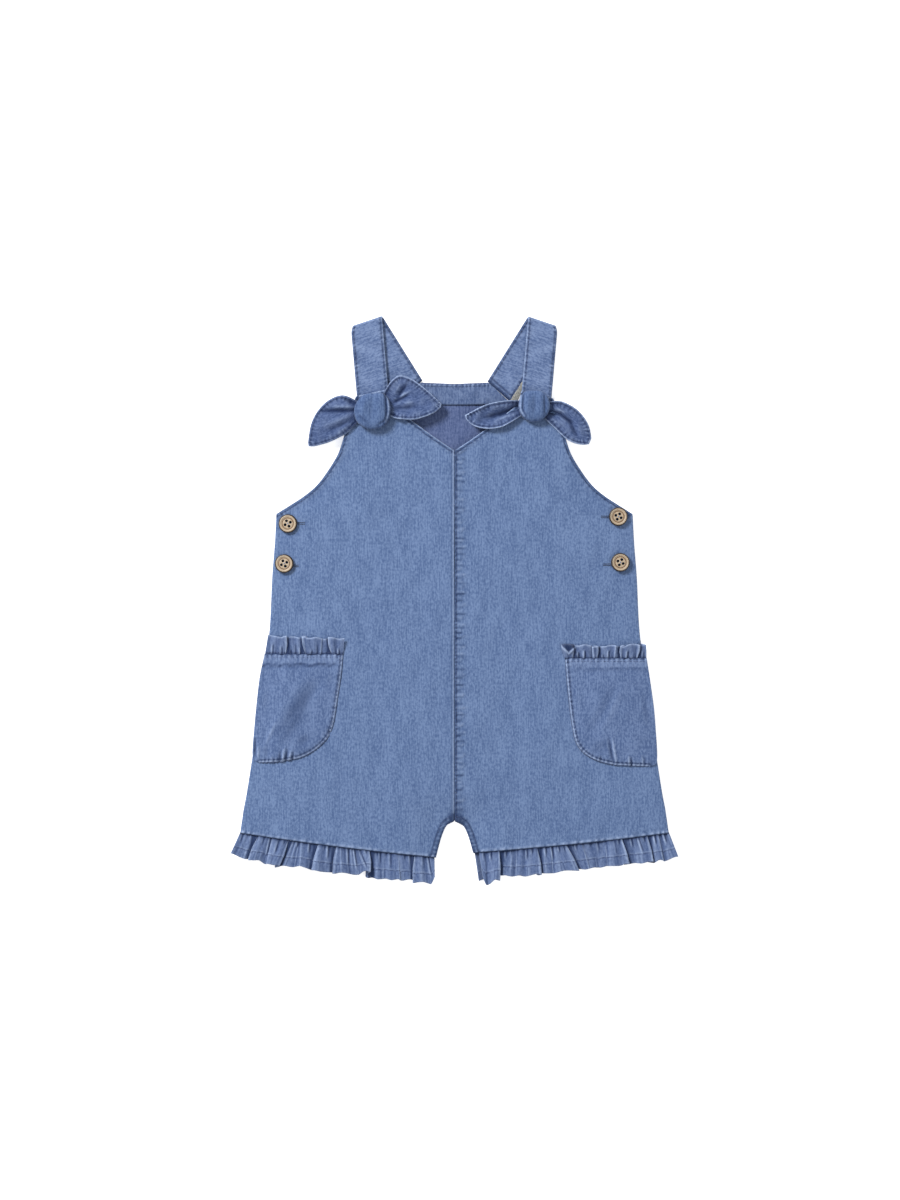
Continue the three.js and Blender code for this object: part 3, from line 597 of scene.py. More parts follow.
# ---- Back panel and neck facing -----------------------------------------------------------------
# The back is one piece of the same chambray and shows its paler-woven wrong side inside the neck.
# A shaped facing, turned in along the back neck and stitched, lies over it.
BACK_ROWS = np.array([
    (0.15, 155.8, 24.2, 156.8),
    (0.15, 142.4, 40.3, 142.2),
    (0.15, 129.0, 50.0, 129.0),
    (0.15, 116.0, 60.5, 116.0),
    (0.15, 102.0, 72.0, 102.0),
    (0.15, 87.0, 86.0, 87.0),
    (0.15, 72.5, 104.0, 72.5),
    (0.15, 61.5, 127.4, 61.0),
    (0.15, 42.0, 128.6, 42.0),
    (0.15, 16.0, 130.6, 16.0),
    (0.15, -23.0, 132.6, -23.0),
    (0.15, -61.0, 137.6, -61.0),
    (0.15, -100.0, 142.6, -100.0),
    (0.15, -135.0, 148.2, -135.0),
    (0.15, -159.6, 151.2, -148.0),
    (6.9, -163.4, 152.0, -155.0),
    (10.4, -170.0, 152.8, -161.5),
    (14.0, -182.6, 153.4, -167.6),
])
BACK_TOP = 1.2
BACK_CROTCH = 14
FACING = {"neck_half": 25.1, "neck_y": 156.3, "dip": 0.8, "low_half": 41.5, "low_y": 141.0, "top": 2.5}
FACING_DEEP = 15.5  # from the neck edge to its lower edge
# The inside cloth is set darker than the front's chambray: painted shade inside the neck opening.
inside_shaded_cloth = chambray("inside_shaded_chambray", (0.083, 0.118, 0.242))
facing_cloth = chambray("facing_chambray", (0.094, 0.141, 0.267), 1.2)

half_u = spaced(130, 1.6, 3.4, 5)
back_u = np.concatenate([-half_u[::-1], half_u])
back_v = np.concatenate([np.linspace(0, 0.24, 50)[:-1], np.linspace(0.24, 1, 90)])
inner = through(BACK_ROWS[:, :2], back_v[:, None], (BACK_CROTCH,))
outer = through(BACK_ROWS[:, 2:], back_v[:, None], (1, 7))
turned = np.concatenate([-np.ones(len(half_u)), np.ones(len(half_u))])
x = turned * mix(inner[..., 0], outer[..., 0], np.abs(back_u))
y = mix(inner[..., 1], outer[..., 1], np.abs(back_u))
z = BACK_TOP - 0.12 + 0.1 * ripple(x, y, 30, 21)
crotch_v = BACK_CROTCH / (len(BACK_ROWS) - 1)
whole = np.ones((len(back_v) - 1, len(back_u) - 1), bool)
whole[back_v[1:] > crotch_v + 0.001, len(half_u) - 1] = False
back = cloth("back_panel_cloth", np.stack([x, y, z], -1), inside_shaded_cloth, wall=1.0, keep=whole)
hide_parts("back_panel")

facing_u, facing_v = np.linspace(-1, 1, 90)[None, :], np.linspace(0, 1, 26)[:, None]
bow = 4 * (facing_u + 1) / 2 * (1 - (facing_u + 1) / 2)
x = facing_u * mix(FACING["neck_half"], FACING["low_half"], facing_v)
y = mix(FACING["neck_y"] - FACING["dip"] * bow, FACING["low_y"] - 0.6 * bow, facing_v)
neck_gap = facing_v * FACING_DEEP + 0 * x
hills = uneven(x, 3.2, 31)
band = stripe(neck_gap, 0, 3.2)
z = FACING["top"] + 0.16 * hills * band + 0.12 * ripple(x, y, 26, 32) + 0.1
z = z - 0.5 * np.exp(-neck_gap / 0.4) - 0.6 * np.exp(-(FACING_DEEP - neck_gap) / 0.5)
patchy = ripple(x, y, 8, 34)
wear_and_highlight = 0.4 * np.maximum(hills, 0) * band + 0.14 * np.maximum(-patchy, 0)
# Dark lines along the neck edge and along the lower edge: painted shade where the edges roll under.
dark = 0.55 * stripe(neck_gap, 0, 0.6) + 0.4 * np.maximum(-hills, 0) * band
dark = dark + 0.8 * stripe(neck_gap, FACING_DEEP, 0.6)
dark = dark + 0.8 * stripe(neck_gap, 1.7, 0.6) * (0.6 + 0.6 * uneven(x, 2.4, 33))
dark = dark + 0.16 * np.maximum(patchy, 0)
neck_facing = cloth("back_neck_facing_cloth", np.stack([x, y, z], -1), facing_cloth, wear_and_highlight=wear_and_highlight, dark=dark)
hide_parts("back_neck_facing")
neck_x = np.linspace(-22.5, 22.5, 60)
neck_bow = 1 - (neck_x / FACING["neck_half"]) ** 2
neck_line = np.stack([neck_x, FACING["neck_y"] - 1.7 - neck_bow, 0 * neck_x + 2.62], -1)
stitches("back_neck_stitching", [neck_line], blue_thread)

# ---- Straps -------------------------------------------------------------------------------------
# Each strap is one band, turned in and stitched along both edges. It is sewn to the back neck, lies
# folded over at the shoulder, and its front run goes down behind the bib to the bow.
STRAP_WIDTH = 20
STRAP_SPAN = {"left": (-1.6, 21.2), "right": (-0.7, 20.8)}  # where its edges lie: it spreads a little
STRAP_WALL = 0.9
STRAP_APEX = (53.4, 202.6)
FOLD_SLOPE = math.radians(18.5)
FOLD_TO_RUN = math.acos(0.2332)
STRAP_FOLD = 1.2
STRAP_BACK_Z = 0.6
STRAP_FRONT_RUN = 62
STRAP_CLEAR = 0.3  # how far the edges beside a strap keep off it
STRAP_SEWN = 1.5  # how far in from its edges it is stitched
STRAP_SEAM = (24.2, 156.8, 40.3, 142.2)  # x, y of both ends of the seam to the back
strap_cloth = chambray("strap_chambray", (0.118, 0.175, 0.322), 1.25)


def strap_point(side, along, off):
    """A point of a strap's middle: along its fold line, and off it, more than 0 on the back run."""
    fold = (side * math.cos(FOLD_SLOPE), -math.sin(FOLD_SLOPE))
    down = (-side * math.sin(FOLD_SLOPE), -math.cos(FOLD_SLOPE))
    quarter = math.pi / 2 * STRAP_FOLD
    turn = np.clip(off / STRAP_FOLD, -math.pi / 2, math.pi / 2)
    run = np.where(np.abs(off) > quarter, np.abs(off) - quarter, -STRAP_FOLD * np.cos(turn))
    x = side * STRAP_APEX[0] + fold[0] * along + down[0] * run
    y = STRAP_APEX[1] + fold[1] * along + down[1] * run
    z = STRAP_BACK_Z + STRAP_FOLD * (1 - np.sin(turn)) + 0 * along
    return np.stack(np.broadcast_arrays(x, y, z), -1)


def strap_end(side, start):
    """How far off the fold the seam to the back crosses a line that starts along the fold."""
    lead = np.array([STRAP_SEAM[2] - STRAP_SEAM[0], STRAP_SEAM[3] - STRAP_SEAM[1]])
    lead /= np.hypot(*lead)

    def clear(off):
        point = strap_point(side, start - off / math.tan(FOLD_TO_RUN), off)
        aside, down = side * point[..., 0] - STRAP_SEAM[0], point[..., 1] - STRAP_SEAM[1]
        return aside * -lead[1] + down * lead[0] - STRAP_CLEAR

    near_end, far_end = clear(20.0), clear(60.0)
    return 20 + near_end / (near_end - far_end) * 40


def strap_surface(side, across, share):
    """across is in mm over the band; share runs from the front run's end (0) to the back seam (1)."""
    start = across / math.sin(FOLD_TO_RUN)
    off = np.where(
        share < 0.5, mix(-STRAP_FRONT_RUN, 0, share * 2), (share * 2 - 1) * strap_end(side, start)
    )
    corner = 1.5 * stripe(off, 0, 3.0) * ease((across - 13) / 7)
    return strap_point(side, start - corner - off / math.tan(FOLD_TO_RUN), off), off


for name, side in SIDES.items():
    first, last = STRAP_SPAN[name]
    across = first + spaced(last - first, 0.5, 1.2, 4)[None, :] * (last - first)
    share = np.concatenate([
        np.linspace(0, 0.47, 50)[:-1], np.linspace(0.47, 0.53, 22)[:-1], np.linspace(0.53, 1, 44)
    ])[:, None]
    points, off = strap_surface(side, across, share)
    off, across = np.broadcast_arrays(off, across)
    inner, outer = across - first, last - across
    edge_gap = np.minimum(inner, outer)
    band = stripe(edge_gap, 1.6, 1.7)
    hills = np.where(across > 10, uneven(off, 3.4, 41), uneven(off, 3.7, 42))
    points[..., 2] += 0.14 * hills * band + 0.12 * ripple(across, off, 16, 43)
    points[..., 2] -= 0.3 * stripe(edge_gap, 0, 0.5)
    groove = stripe(edge_gap, STRAP_SEWN, 0.65) * (0.65 + 0.6 * uneven(off, 2.4, 44))
    end_gap = strap_end(side, across / math.sin(FOLD_TO_RUN)) - off
    groove = groove + stripe(end_gap, 1.4, 0.6) + stripe(end_gap, 3.6, 0.6)
    wear_and_highlight = 0.46 * np.maximum(hills, 0) * band + 0.6 * stripe(inner, 0, 0.6) * (off < 2)
    dark = 0.6 * np.maximum(-hills, 0) * band + 0.9 * groove + 0.8 * stripe(end_gap, 0, 0.7)
    patchy = ripple(across, off, 9, 45)
    dark = dark + 0.16 * np.maximum(patchy, 0)
    wear_and_highlight = wear_and_highlight + 0.17 * np.maximum(-patchy, 0)
    # Dark along the outer edges and along the back run's inner edge: painted shade where the edges roll
    # under and beside the front run.
    dark = dark + 0.5 * stripe(outer, 0, 0.6) + 0.45 * stripe(inner, 0, 0.6) * (off > 2)
    threads_at = np.stack([off, across], -1)
    strap = cloth(
        f"strap_{name}_cloth", points, strap_cloth, STRAP_WALL, True, wear_and_highlight=wear_and_highlight, dark=dark, along=threads_at
    )
    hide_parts(f"strap_{name}")
    lines = []
    for inset in (first + STRAP_SEWN, last - STRAP_SEWN):
        for begin, end in ((0.2, 0.485), (0.515, 0.985)):  # the front run, then the back run
            shares = np.linspace(begin, end, 60)
            line, _ = strap_surface(side, np.full(60, float(inset)), shares)
            lines.append(line + (0, 0, STRAP_WALL / 2))
    for inset in (1.2, 3.6):
        seam = np.linspace(STRAP_SEWN, STRAP_WIDTH - STRAP_SEWN, 20)
        ends = strap_end(side, seam / math.sin(FOLD_TO_RUN))
        line, _ = strap_surface(side, seam, 0.5 + 0.5 * (ends - inset) / ends)
        lines.append(line + (0, 0, STRAP_WALL / 2))
    stitches(f"strap_stitching_{name}", lines, blue_thread)

# ---- Pockets ------------------------------------------------------------------------------------
# A rounded patch on each hip, its mouth turned in, its outer side caught in the side seam and its
# curved side topstitched to the front. It stands off the front a little and is gathered below.
POCKET_ROWS = {
    "left": np.array([
        (-79.8, -38.9, -136.8, -38.9),
        (-81.4, -55.0, -140.2, -55.0),
        (-84.0, -72.0, -142.4, -73.0),
        (-86.6, -88.0, -144.2, -92.0),
        (-90.6, -98.8, -145.2, -104.0),
        (-99.3, -107.7, -145.5, -110.5),
        (-110.3, -113.6, -144.6, -114.8),
        (-125.0, -116.9, -139.7, -117.4),
    ]),
    "right": np.array([
        (79.3, -41.8, 138.4, -41.8),
        (80.6, -58.0, 141.2, -60.0),
        (82.5, -77.0, 143.8, -79.0),
        (84.6, -92.0, 145.2, -97.0),
        (87.4, -103.0, 145.9, -108.0),
        (93.6, -111.0, 145.9, -114.5),
        (103.4, -116.2, 144.8, -118.2),
        (116.0, -119.2, 139.5, -120.2),
    ]),
}
POCKET_LIFT = 1.3  # top of a pocket's cloth over the top of the front's
POCKET_FULL = 1.6
POCKET_TURNED = 7.7  # depth of the band turned in at the mouth
POCKET_CREASES = {
    "left": [
        (-98, -54, -127, -106, 6.6, -1.1),
        (-127, -84, -137.5, -107, 1.3, 0.65),
        (-106, -70, -128, -104, 2.0, 0.3),
        (-92, -60, -112, -86, 3.0, 0.3),
        (-91.5, -92, -88.0, -99, 1.0, -0.9),
        (-96, -92, -94, -101, 1.5, 0.35),
        (-124.2, -120, -122.4, -105, 1.0, 0.95),
        (-121.8, -120, -120.2, -106, 0.9, -1.1),
        (-119.4, -120, -117.6, -107, 0.9, 0.8),
        (-117.2, -120, -115.8, -108, 0.8, -0.9),
        (-126.2, -121, -125.4, -108, 0.8, -0.8),
        (-131.5, -121, -131.4, -109, 1.4, 0.5),
        (-135, -116, -136, -104, 1.4, -0.4),
        (-84, -47.4, -134, -46.6, 0.8, -0.4),
        (-106, -49.8, -117, -49.6, 0.7, -0.35),
        (-88, -50, -90, -66, 2.0, -0.25),
        (-134, -60, -137, -84, 2.4, -0.3),
        (-143.4, -98, -143.8, -114, 0.9, -1.0),
        (-141.2, -104, -141.6, -116, 1.0, 0.7),
        (-112, -104, -104, -98, 3.0, -0.5),
    ],
    "right": [
        (112.6, -97, 116.6, -119, 1.1, 1.0),
        (110.6, -97, 114.4, -119, 1.1, -1.0),
        (125.8, -121, 125.0, -111, 0.9, 0.9),
        (127.6, -121, 127.0, -112, 0.9, -0.85),
        (135.6, -121, 134.6, -110, 1.0, 0.6),
        (137.4, -120, 136.6, -112, 0.8, -0.5),
        (104, -118, 103, -110, 1.0, 0.45),
        (105.8, -118, 104.8, -111, 0.8, -0.45),
        (88, -50.6, 134, -50.2, 0.9, -0.3),
        (98, -112, 112, -100, 4.0, -0.45),
        (118, -56, 96, -98, 3.4, -0.35),
        (124, -58, 103, -100, 2.4, 0.35),
        (88, -58, 90, -88, 2.4, 0.25),
        (136, -66, 140, -96, 2.4, -0.35),
    ],
}
pocket_cloth = chambray("pocket_chambray", (0.104, 0.160, 0.306), 1.2)


def pocket_top(name, u, v):
    rows = POCKET_ROWS[name]
    row = through(rows, v)
    x, y = mix(row[..., 0], row[..., 2], u), mix(row[..., 1], row[..., 3], u)
    v = v + 0 * x
    u = u + 0 * x
    full = POCKET_FULL * np.sin(math.pi * u) * np.sin(math.pi * v)
    z = front_base(x, y) + POCKET_LIFT + full + creases(x, y, POCKET_CREASES[name])
    z += 0.16 * ripple(x, y, 15, 51 if name == "left" else 52)
    shares = np.linspace(0, 1, 60)
    curve = through(rows[:, :2], shares)
    bottom = mix(rows[-1, :2], rows[-1, 2:], shares[1:, None])
    gap, along = near(x, y, np.concatenate([curve, bottom]))
    hills = uneven(along, 3.3, 53 if name == "left" else 54)
    band = stripe(gap, 2.2, 1.9)
    z += 0.17 * hills * band - 0.9 * np.exp(-gap / 0.7)
    mouth = np.abs(y - rows[0, 1] + 0.35 * uneven(x, 7.0, 57))
    gathers = uneven(x, 3.8, 55 if name == "left" else 56)
    mouth_band = stripe(mouth, 0, 3.6)
    z += 0.3 * gathers * mouth_band - 0.5 * stripe(mouth, 0, 0.8)
    folds = creases(x, y, POCKET_CREASES[name])
    wear_and_highlight = 1.0 * stripe(gap, 1.0, 0.6) * (0.7 + 0.5 * hills)
    wear_and_highlight += 0.3 * np.maximum(hills, 0) * band + 0.34 * np.maximum(gathers, 0) * mouth_band
    wear_and_highlight += 0.55 * np.maximum(folds - 0.12, 0)
    stitched = stripe(gap, 2.3, 0.6) * (0.7 + 0.5 * uneven(along, 2.4, 59))
    dark = 0.46 * np.maximum(-hills, 0) * band + 1.0 * stitched
    # Dark along the pocket's edge and in its crease troughs: painted shade.
    dark += 0.95 * stripe(gap, 0, 0.45) + 0.62 * np.maximum(-folds - 0.05, 0)
    dark += 0.55 * np.maximum(-gathers, 0) * mouth_band + 0.9 * stripe(mouth, 0, 0.5)
    line = np.abs(mouth - POCKET_TURNED + 0.8 * uneven(x, 13.0, 58))
    turned = 1.2 if name == "left" else 0.45
    dark += turned * stripe(line, 0, 0.9) * ease((u - 0.04) / 0.1) * (0.7 + 0.3 * gathers)
    wear_and_highlight += 0.12 * ease((mouth - 0.8) / 0.8) * (1 - ease((mouth - 6.4) / 0.8)) * (1 + 0.6 * gathers)
    return np.stack([x, y, z], -1), wear_and_highlight, dark


for name, side in SIDES.items():
    u = spaced(60, 0.6, 1.1, 6)[None, :]
    v = spaced(84, 0.7, 1.1, 6)[:, None]
    points, wear_and_highlight, dark = pocket_top(name, u, v)
    pocket = cloth(f"pocket_{name}_cloth", points, pocket_cloth, wear_and_highlight=wear_and_highlight, dark=dark)
    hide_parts(f"pocket_{name}")
    down = np.linspace(0.02, 0.99, 120)
    curve, _, _ = pocket_top(name, np.full(120, 0.028), down)
    base, _, _ = pocket_top(name, np.linspace(0.05, 0.97, 40), np.full(40, 0.982))
    mouth, _, _ = pocket_top(name, np.linspace(0.02, 0.98, 60), np.full(60, 0.012))
    second, _, _ = pocket_top(name, np.linspace(0.02, 0.98, 60), np.full(60, 0.028))
    stitches(f"pocket_stitching_{name}", [curve, base, mouth, second], blue_thread)

# ---- Ruffles ------------------------------------------------------------------------------------
# Straight strips cut about half as long again as the seam they are gathered into. The hem ruffles
# have a narrow stitched hem; those on the pockets stand up from the mouth.
# Each pleat: x at the seam, x at the free edge, y of that edge before it, how much that changes, and
# the step down from the cloth before it to the cloth after it.
HEM_PLEATS = {
    "left": [
        (-14.4, -14.2, -199.0, 0.0, 0.0),
        (-18.0, -17.6, -203.6, 0.0, 0.4),
        (-28.9, -28.4, -203.4, 1.4, 1.5),
        (-41.0, -39.8, -201.6, 0.0, -1.0),
        (-61.2, -62.0, -200.6, 5.6, -2.6),
        (-72.0, -69.4, -197.6, 0.0, 0.9),
        (-85.4, -86.2, -196.8, 0.0, 2.0),
        (-98.0, -101.4, -194.8, 1.2, 1.8),
        (-110.0, -112.0, -191.8, 0.0, 0.7),
        (-119.2, -127.4, -192.2, 1.0, -1.9),
        (-131.0, -135.8, -189.4, 0.0, 0.9),
        (-141.2, -147.0, -187.0, 0.4, 2.0),
        (-154.3, -161.2, -182.9, 0.0, 0.0),
    ],
    "right": [
        (17.4, 20.4, -199.4, 0.0, 0.0),
        (22.0, 23.6, -204.3, 0.0, 0.4),
        (32.4, 31.2, -202.0, 3.6, 2.4),
        (44.8, 44.4, -198.8, 0.0, -1.0),
        (59.6, 61.2, -197.8, 0.6, 2.0),
        (69.2, 71.4, -196.4, 0.0, -0.8),
        (80.2, 88.2, -194.6, 0.6, 2.0),
        (92.0, 97.6, -193.2, 0.0, 0.9),
        (108.0, 110.2, -191.8, 0.0, -1.0),
        (120.4, 124.3, -190.4, 0.2, 2.0),
        (138.8, 141.6, -188.8, 0.0, 1.4),
        (146.8, 151.0, -187.4, 0.0, 0.9),
        (154.3, 161.2, -184.8, 0.0, 0.0),
    ],
}
BACK_PLEATS = {
    "left": [
        (-14.8, -16.0, -199.5, 0.0, 0.0),
        (-36.0, -37.5, -200.0, 0.0, 0.6),
        (-58.0, -61.0, -196.2, 0.0, -0.6),
        (-83.0, -86.0, -194.0, 0.0, 0.6),
        (-108.0, -113.0, -190.4, 0.0, 0.6),
        (-132.0, -138.0, -187.0, 0.0, -0.6),
        (-153.0, -158.6, -182.0, 0.0, 0.0),
    ],
    "right": [
        (14.4, 17.5, -202.8, 0.0, 0.0),
        (30.0, 31.5, -198.6, 0.0, 0.6),
        (55.0, 57.0, -195.6, 0.0, -0.6),
        (82.0, 85.0, -192.4, 0.0, 0.6),
        (106.0, 110.0, -190.0, 0.0, 0.6),
        (131.0, 137.0, -187.0, 0.0, -0.6),
        (153.0, 158.8, -183.4, 0.0, 0.0),
    ],
}
POCKET_PLEATS = {
    "left": [
        (-80.0, -79.2, -27.6, 0.0, 0.0),
        (-88.6, -89.4, -27.2, 0.0, 1.8),
        (-96.4, -95.6, -27.8, 0.0, -1.0),
        (-107.2, -108.2, -26.6, 0.0, 1.8),
        (-121.4, -122.2, -26.4, 0.0, -1.5),
        (-129.0, -127.9, -26.0, 0.0, 1.2),
        (-136.6, -134.2, -25.8, 0.0, 0.0),
    ],
    "right": [
        (79.4, 76.4, -32.4, 0.0, 0.0),
        (85.4, 83.6, -32.0, 0.0, 1.6),
        (97.8, 97.5, -32.8, 0.0, 0.9),
        (102.6, 101.8, -33.2, 0.0, 1.6),
        (114.2, 114.9, -33.0, 0.0, -1.0),
        (119.6, 120.8, -33.0, 0.0, -1.6),
        (131.6, 132.0, -31.8, 0.0, 1.5),
        (138.2, 138.0, -32.2, 0.0, 0.0),
    ],
}
# A folded-back pleat in section: place along the seam, place along the free edge, height as a share
# of half the step, and share of the change at the edge.
FOLD_BACK = [
    (-2.4, -2.4, 1.0, 0.0),
    (-0.3, 0.9, 0.95, 0.0),
    (-0.1, 1.3, 0.35, 0.0),
    (0.0, -1.5, -0.1, 0.4),
    (0.1, -1.8, -0.6, 0.8),
    (0.3, 0.6, -1.0, 1.0),
    (2.4, 2.4, -1.0, 1.0),
]
# Short gathers: x at the seam, x they lean to at the free edge, and how far down they reach.
HEM_GATHERS = {
    "left": [
        (-153.1, -157.6, 0.6), (-146.5, -150.5, 0.45), (-137.5, -143.0, 0.5), (-133.0, -137.5, 0.8),
        (-127.0, -132.5, 0.7), (-123.0, -129.0, 0.35), (-113.0, -117.0, 0.4), (-104.8, -106.8, 0.5),
        (-94.2, -96.0, 0.35), (-91.5, -92.5, 0.6), (-88.2, -89.0, 0.3), (-82.4, -82.6, 0.6),
        (-77.4, -77.0, 0.75), (-73.4, -70.2, 0.85), (-69.7, -62.8, 0.95), (-65.0, -62.0, 0.35),
        (-56.8, -57.5, 0.35), (-54.4, -54.4, 0.55), (-50.0, -50.5, 0.3), (-47.0, -46.6, 0.65),
        (-37.0, -36.0, 0.35), (-33.0, -31.4, 0.45), (-23.8, -22.5, 0.55), (-20.0, -16.5, 0.85),
    ],
    "right": [
        (20.0, 22.0, 0.4), (25.0, 27.5, 0.45), (36.5, 36.0, 0.4), (40.0, 40.0, 0.35),
        (51.3, 51.5, 0.55), (55.0, 56.0, 0.35), (64.6, 66.0, 0.5), (69.2, 71.5, 0.6),
        (74.0, 77.0, 0.4), (77.5, 82.0, 0.4), (86.0, 91.0, 0.4), (91.4, 97.6, 0.85),
        (96.0, 101.0, 0.35), (101.9, 105.5, 0.55), (114.0, 117.4, 0.75), (117.0, 120.2, 0.35),
        (126.0, 130.5, 0.5), (131.0, 137.5, 0.75), (135.0, 140.0, 0.35), (143.0, 146.5, 0.5),
        (149.8, 155.0, 0.5),
    ],
}
POCKET_GATHERS = {
    "left": [
        (-84.0, -84.0, 0.5), (-93.0, -93.0, 0.4), (-99.5, -99.6, 0.7), (-103.5, -103.8, 0.4),
        (-111.5, -112.4, 0.5), (-115.0, -115.6, 0.75), (-118.5, -119.2, 0.4), (-125.0, -125.5, 0.6),
        (-132.0, -131.0, 0.7),
    ],
    "right": [
        (88.5, 88.0, 0.6), (93.0, 92.6, 0.7), (106.0, 106.0, 0.5), (110.0, 110.4, 0.75),
        (117.0, 118.0, 0.5), (123.5, 124.0, 0.7), (127.5, 128.0, 0.4), (135.0, 135.5, 0.7),
    ],
}
# Where a ruffle's corner is folded over: x and y along the fold's edge.
FOLDED_CORNERS = {"pocket_ruffle_right_cloth": [(76.8, -33.4), (82.2, -38.4), (86.6, -34.4)]}
SOFT_STEP = [(-0.8, -1.0, 1.0, 0.0), (0.8, 1.0, -1.0, 1.0)]
DEEP_STEP = 1.4
EDGE_TOP = 4.4  # top of the front hem ruffles' free edge, between pleats
RUFFLE_HEM = 5.7
ruffle_cloth = chambray("ruffle_chambray", (0.098, 0.148, 0.290), 0.9)
# The back ruffles' cloth is a darker copy of the ruffles' chambray: painted shade, where they lie under the
# front ruffles.
back_ruffle_shaded_cloth = chambray("back_ruffle_shaded_chambray", (0.050, 0.078, 0.170), 0.8)


def pleated(pleats):
    """A ruffle's columns: x at the seam, x and y at the edge, height, and how far it folds over."""
    heading = np.sign(pleats[-1][0] - pleats[0][0])
    table = []
    for seam, edge, edge_y, change, step in pleats:
        if step == 0:
            table.append((seam, edge, edge_y, 0, 0))
            continue
        section = FOLD_BACK if abs(step) >= DEEP_STEP else SOFT_STEP
        if step < 0:
            section = [(-a, -b, height, 1 - share) for a, b, height, share in section[::-1]]
        for at_seam, at_edge, height, share in section:
            table.append((
                seam + heading * at_seam,
                edge + heading * at_seam,
                edge_y + change * share,
                height * abs(step) / 2,
                heading * (at_edge - at_seam),
            ))
    return np.array(table)


def ruffle(name, pleats, gathers, depth, seam_y, seam_z, edge_z, material, seed, hem, fall, wall=0.5):
    """A gathered strip from its seam down or up to its free edge."""
    table = pleated(pleats)
    fine = np.linspace(0, 1, 4000)
    edge = through(table, fine)
    reach = np.hypot(np.diff(edge[:, 1] + edge[:, 4]), np.diff(edge[:, 3]) * 1.5)
    reach = np.concatenate([[0], np.cumsum(reach)])
    u = np.interp(np.linspace(0, reach[-1], int(reach[-1] / 0.5)), reach, fine)
    v = np.linspace(0, 1, int(depth / 0.7))[:, None]
    seam_x, edge_x, edge_y, height, over = through(table, u).T
    x = mix(seam_x, edge_x, v) + over * ease(v * 1.5)
    y = mix(seam_y(seam_x), edge_y, v)
    run = np.interp(u, fine, reach)[None, :] + 0 * x
    z = mix(seam_z(seam_x, seam_y(seam_x)), edge_z(x, y), v) + fall * height * mix(0.2, 1, v)
    y = y + 0.8 * uneven(run, 14, seed + 5) * v**3
    waves, lean = uneven(run, 5.2, seed), uneven(run + 2.5 * v, 9.5, seed + 2)
    z += 0.3 * waves * mix(1, 0.5, v) + 0.4 * lean * v
    z = np.maximum(z, wall / 2 + 0.1)
    from_edge = (1 - v) * depth + 0 * x
    # Paler on the crests of the waves and leans and darker in their hollows: painted highlight and painted
    # shade, the crests worn too. Dark along the seam: painted shadow of the cloth over it.
    wear_and_highlight = 0.1 * np.maximum(waves, 0) + 0.2 * np.maximum(lean, 0)
    dark = stripe(v * depth, 0, 1.9 if hem else 1.1) + 0.3 * np.maximum(-lean, 0)
    dark += 0.55 * np.maximum(-waves, 0) * np.exp(-v * 3)
    sizes = np.random.default_rng(seed).uniform(0.3, 1, len(gathers))
    for (start, end, length), size in zip(gathers, sizes):
        gap = x - mix(start, end, v)
        fade = size * ease((length - v) / 0.3) * ease(v * 9)
        # Each gather: a raised ridge, paler and worn, beside a hollow darkened as painted shade.
        ridge = stripe(gap, 0, 0.65) * fade
        hollow = stripe(gap, 1.25, 0.75) * fade
        z += 0.55 * ridge - 0.5 * hollow
        wear_and_highlight += 0.45 * ridge
        dark += 1.2 * hollow * mix(1, 0.45, v)
    heading = np.sign(pleats[-1][0] - pleats[0][0])
    # Under each deep pleat's fold a dark band: painted shadow. Its fold edge is paler, worn.
    for start, end, _, _, step in pleats:
        if abs(step) >= DEEP_STEP:
            gap = (x - mix(start, end, v)) * heading * np.sign(step)
            under = ease(-2 * height / abs(step))
            shade = ease((gap + 0.6) / 0.8) * (1 - ease((gap - 1.6) / (0.9 + abs(step))))
            dark += 1.2 * under * shade * ease(v * 8)
            wear_and_highlight += 0.5 * (1 - under) * stripe(gap, 1.2 * v - 0.3, 0.6)
    if hem:
        stripes = uneven(run, 2.5, seed + 3) * (0.6 + 0.5 * uneven(run, 8, seed + 4))
        band = 1 - ease((from_edge - hem + 0.9) / 0.9)
        line = from_edge - hem + 0.3 * uneven(run, 6, seed + 6)
        z += 0.25 * band - 0.25 * stripe(line, 0, 0.5) + 0.09 * stripes * band
        wear_and_highlight += 0.22 * np.maximum(stripes, 0) * band + 0.34 * stripe(line, 0.7, 0.4)
        dark += (0.3 * np.maximum(-stripes, 0) + 0.08) * band + 0.3 * stripe(line, -0.3, 0.4)
    if name in FOLDED_CORNERS:
        fold = np.array(FOLDED_CORNERS[name])
        gap, _ = near(x, y, fold)
        inside = ease((y - np.interp(x, *fold.T)) / 1.2) * ease((fold[-1, 0] - x) / 1.5)
        z += 0.9 * stripe(gap, 0, 0.9) - 1.0 * inside
        # The fold's edge is paler, worn; the dip inside the fold is darkened: painted shade.
        wear_and_highlight += 0.95 * stripe(gap, 0, 0.7)
        dark += 0.8 * inside * (1 - stripe(gap, 0, 1.0))
    points = np.stack([x, y, z], -1)
    threads_at = np.stack([run, (v * depth) + 0 * x], -1)
    worn = (0, 0.3 if hem else 0.8, 0.2, 0.2)
    piece = cloth(name, points, material, wall, True, worn, wear_and_highlight, dark, threads_at)
    row = int(round((1 - hem / depth) * (len(v) - 1))) if hem else 2
    line = points[row] + (0, 0, wall / 2 + 0.02)
    shown = np.concatenate([[True], np.diff(x[row]) * np.sign(x[row, -1] - x[row, 0]) > 0.05])
    return piece, [line[shown]]


def hem_seam(side):
    """The y of the hem seam at an x."""
    line = front_edges["right" if side > 0 else "left"]["hem"]
    order = np.argsort(line[:, 0])
    return lambda x: np.interp(x, line[order, 0], line[order, 1])


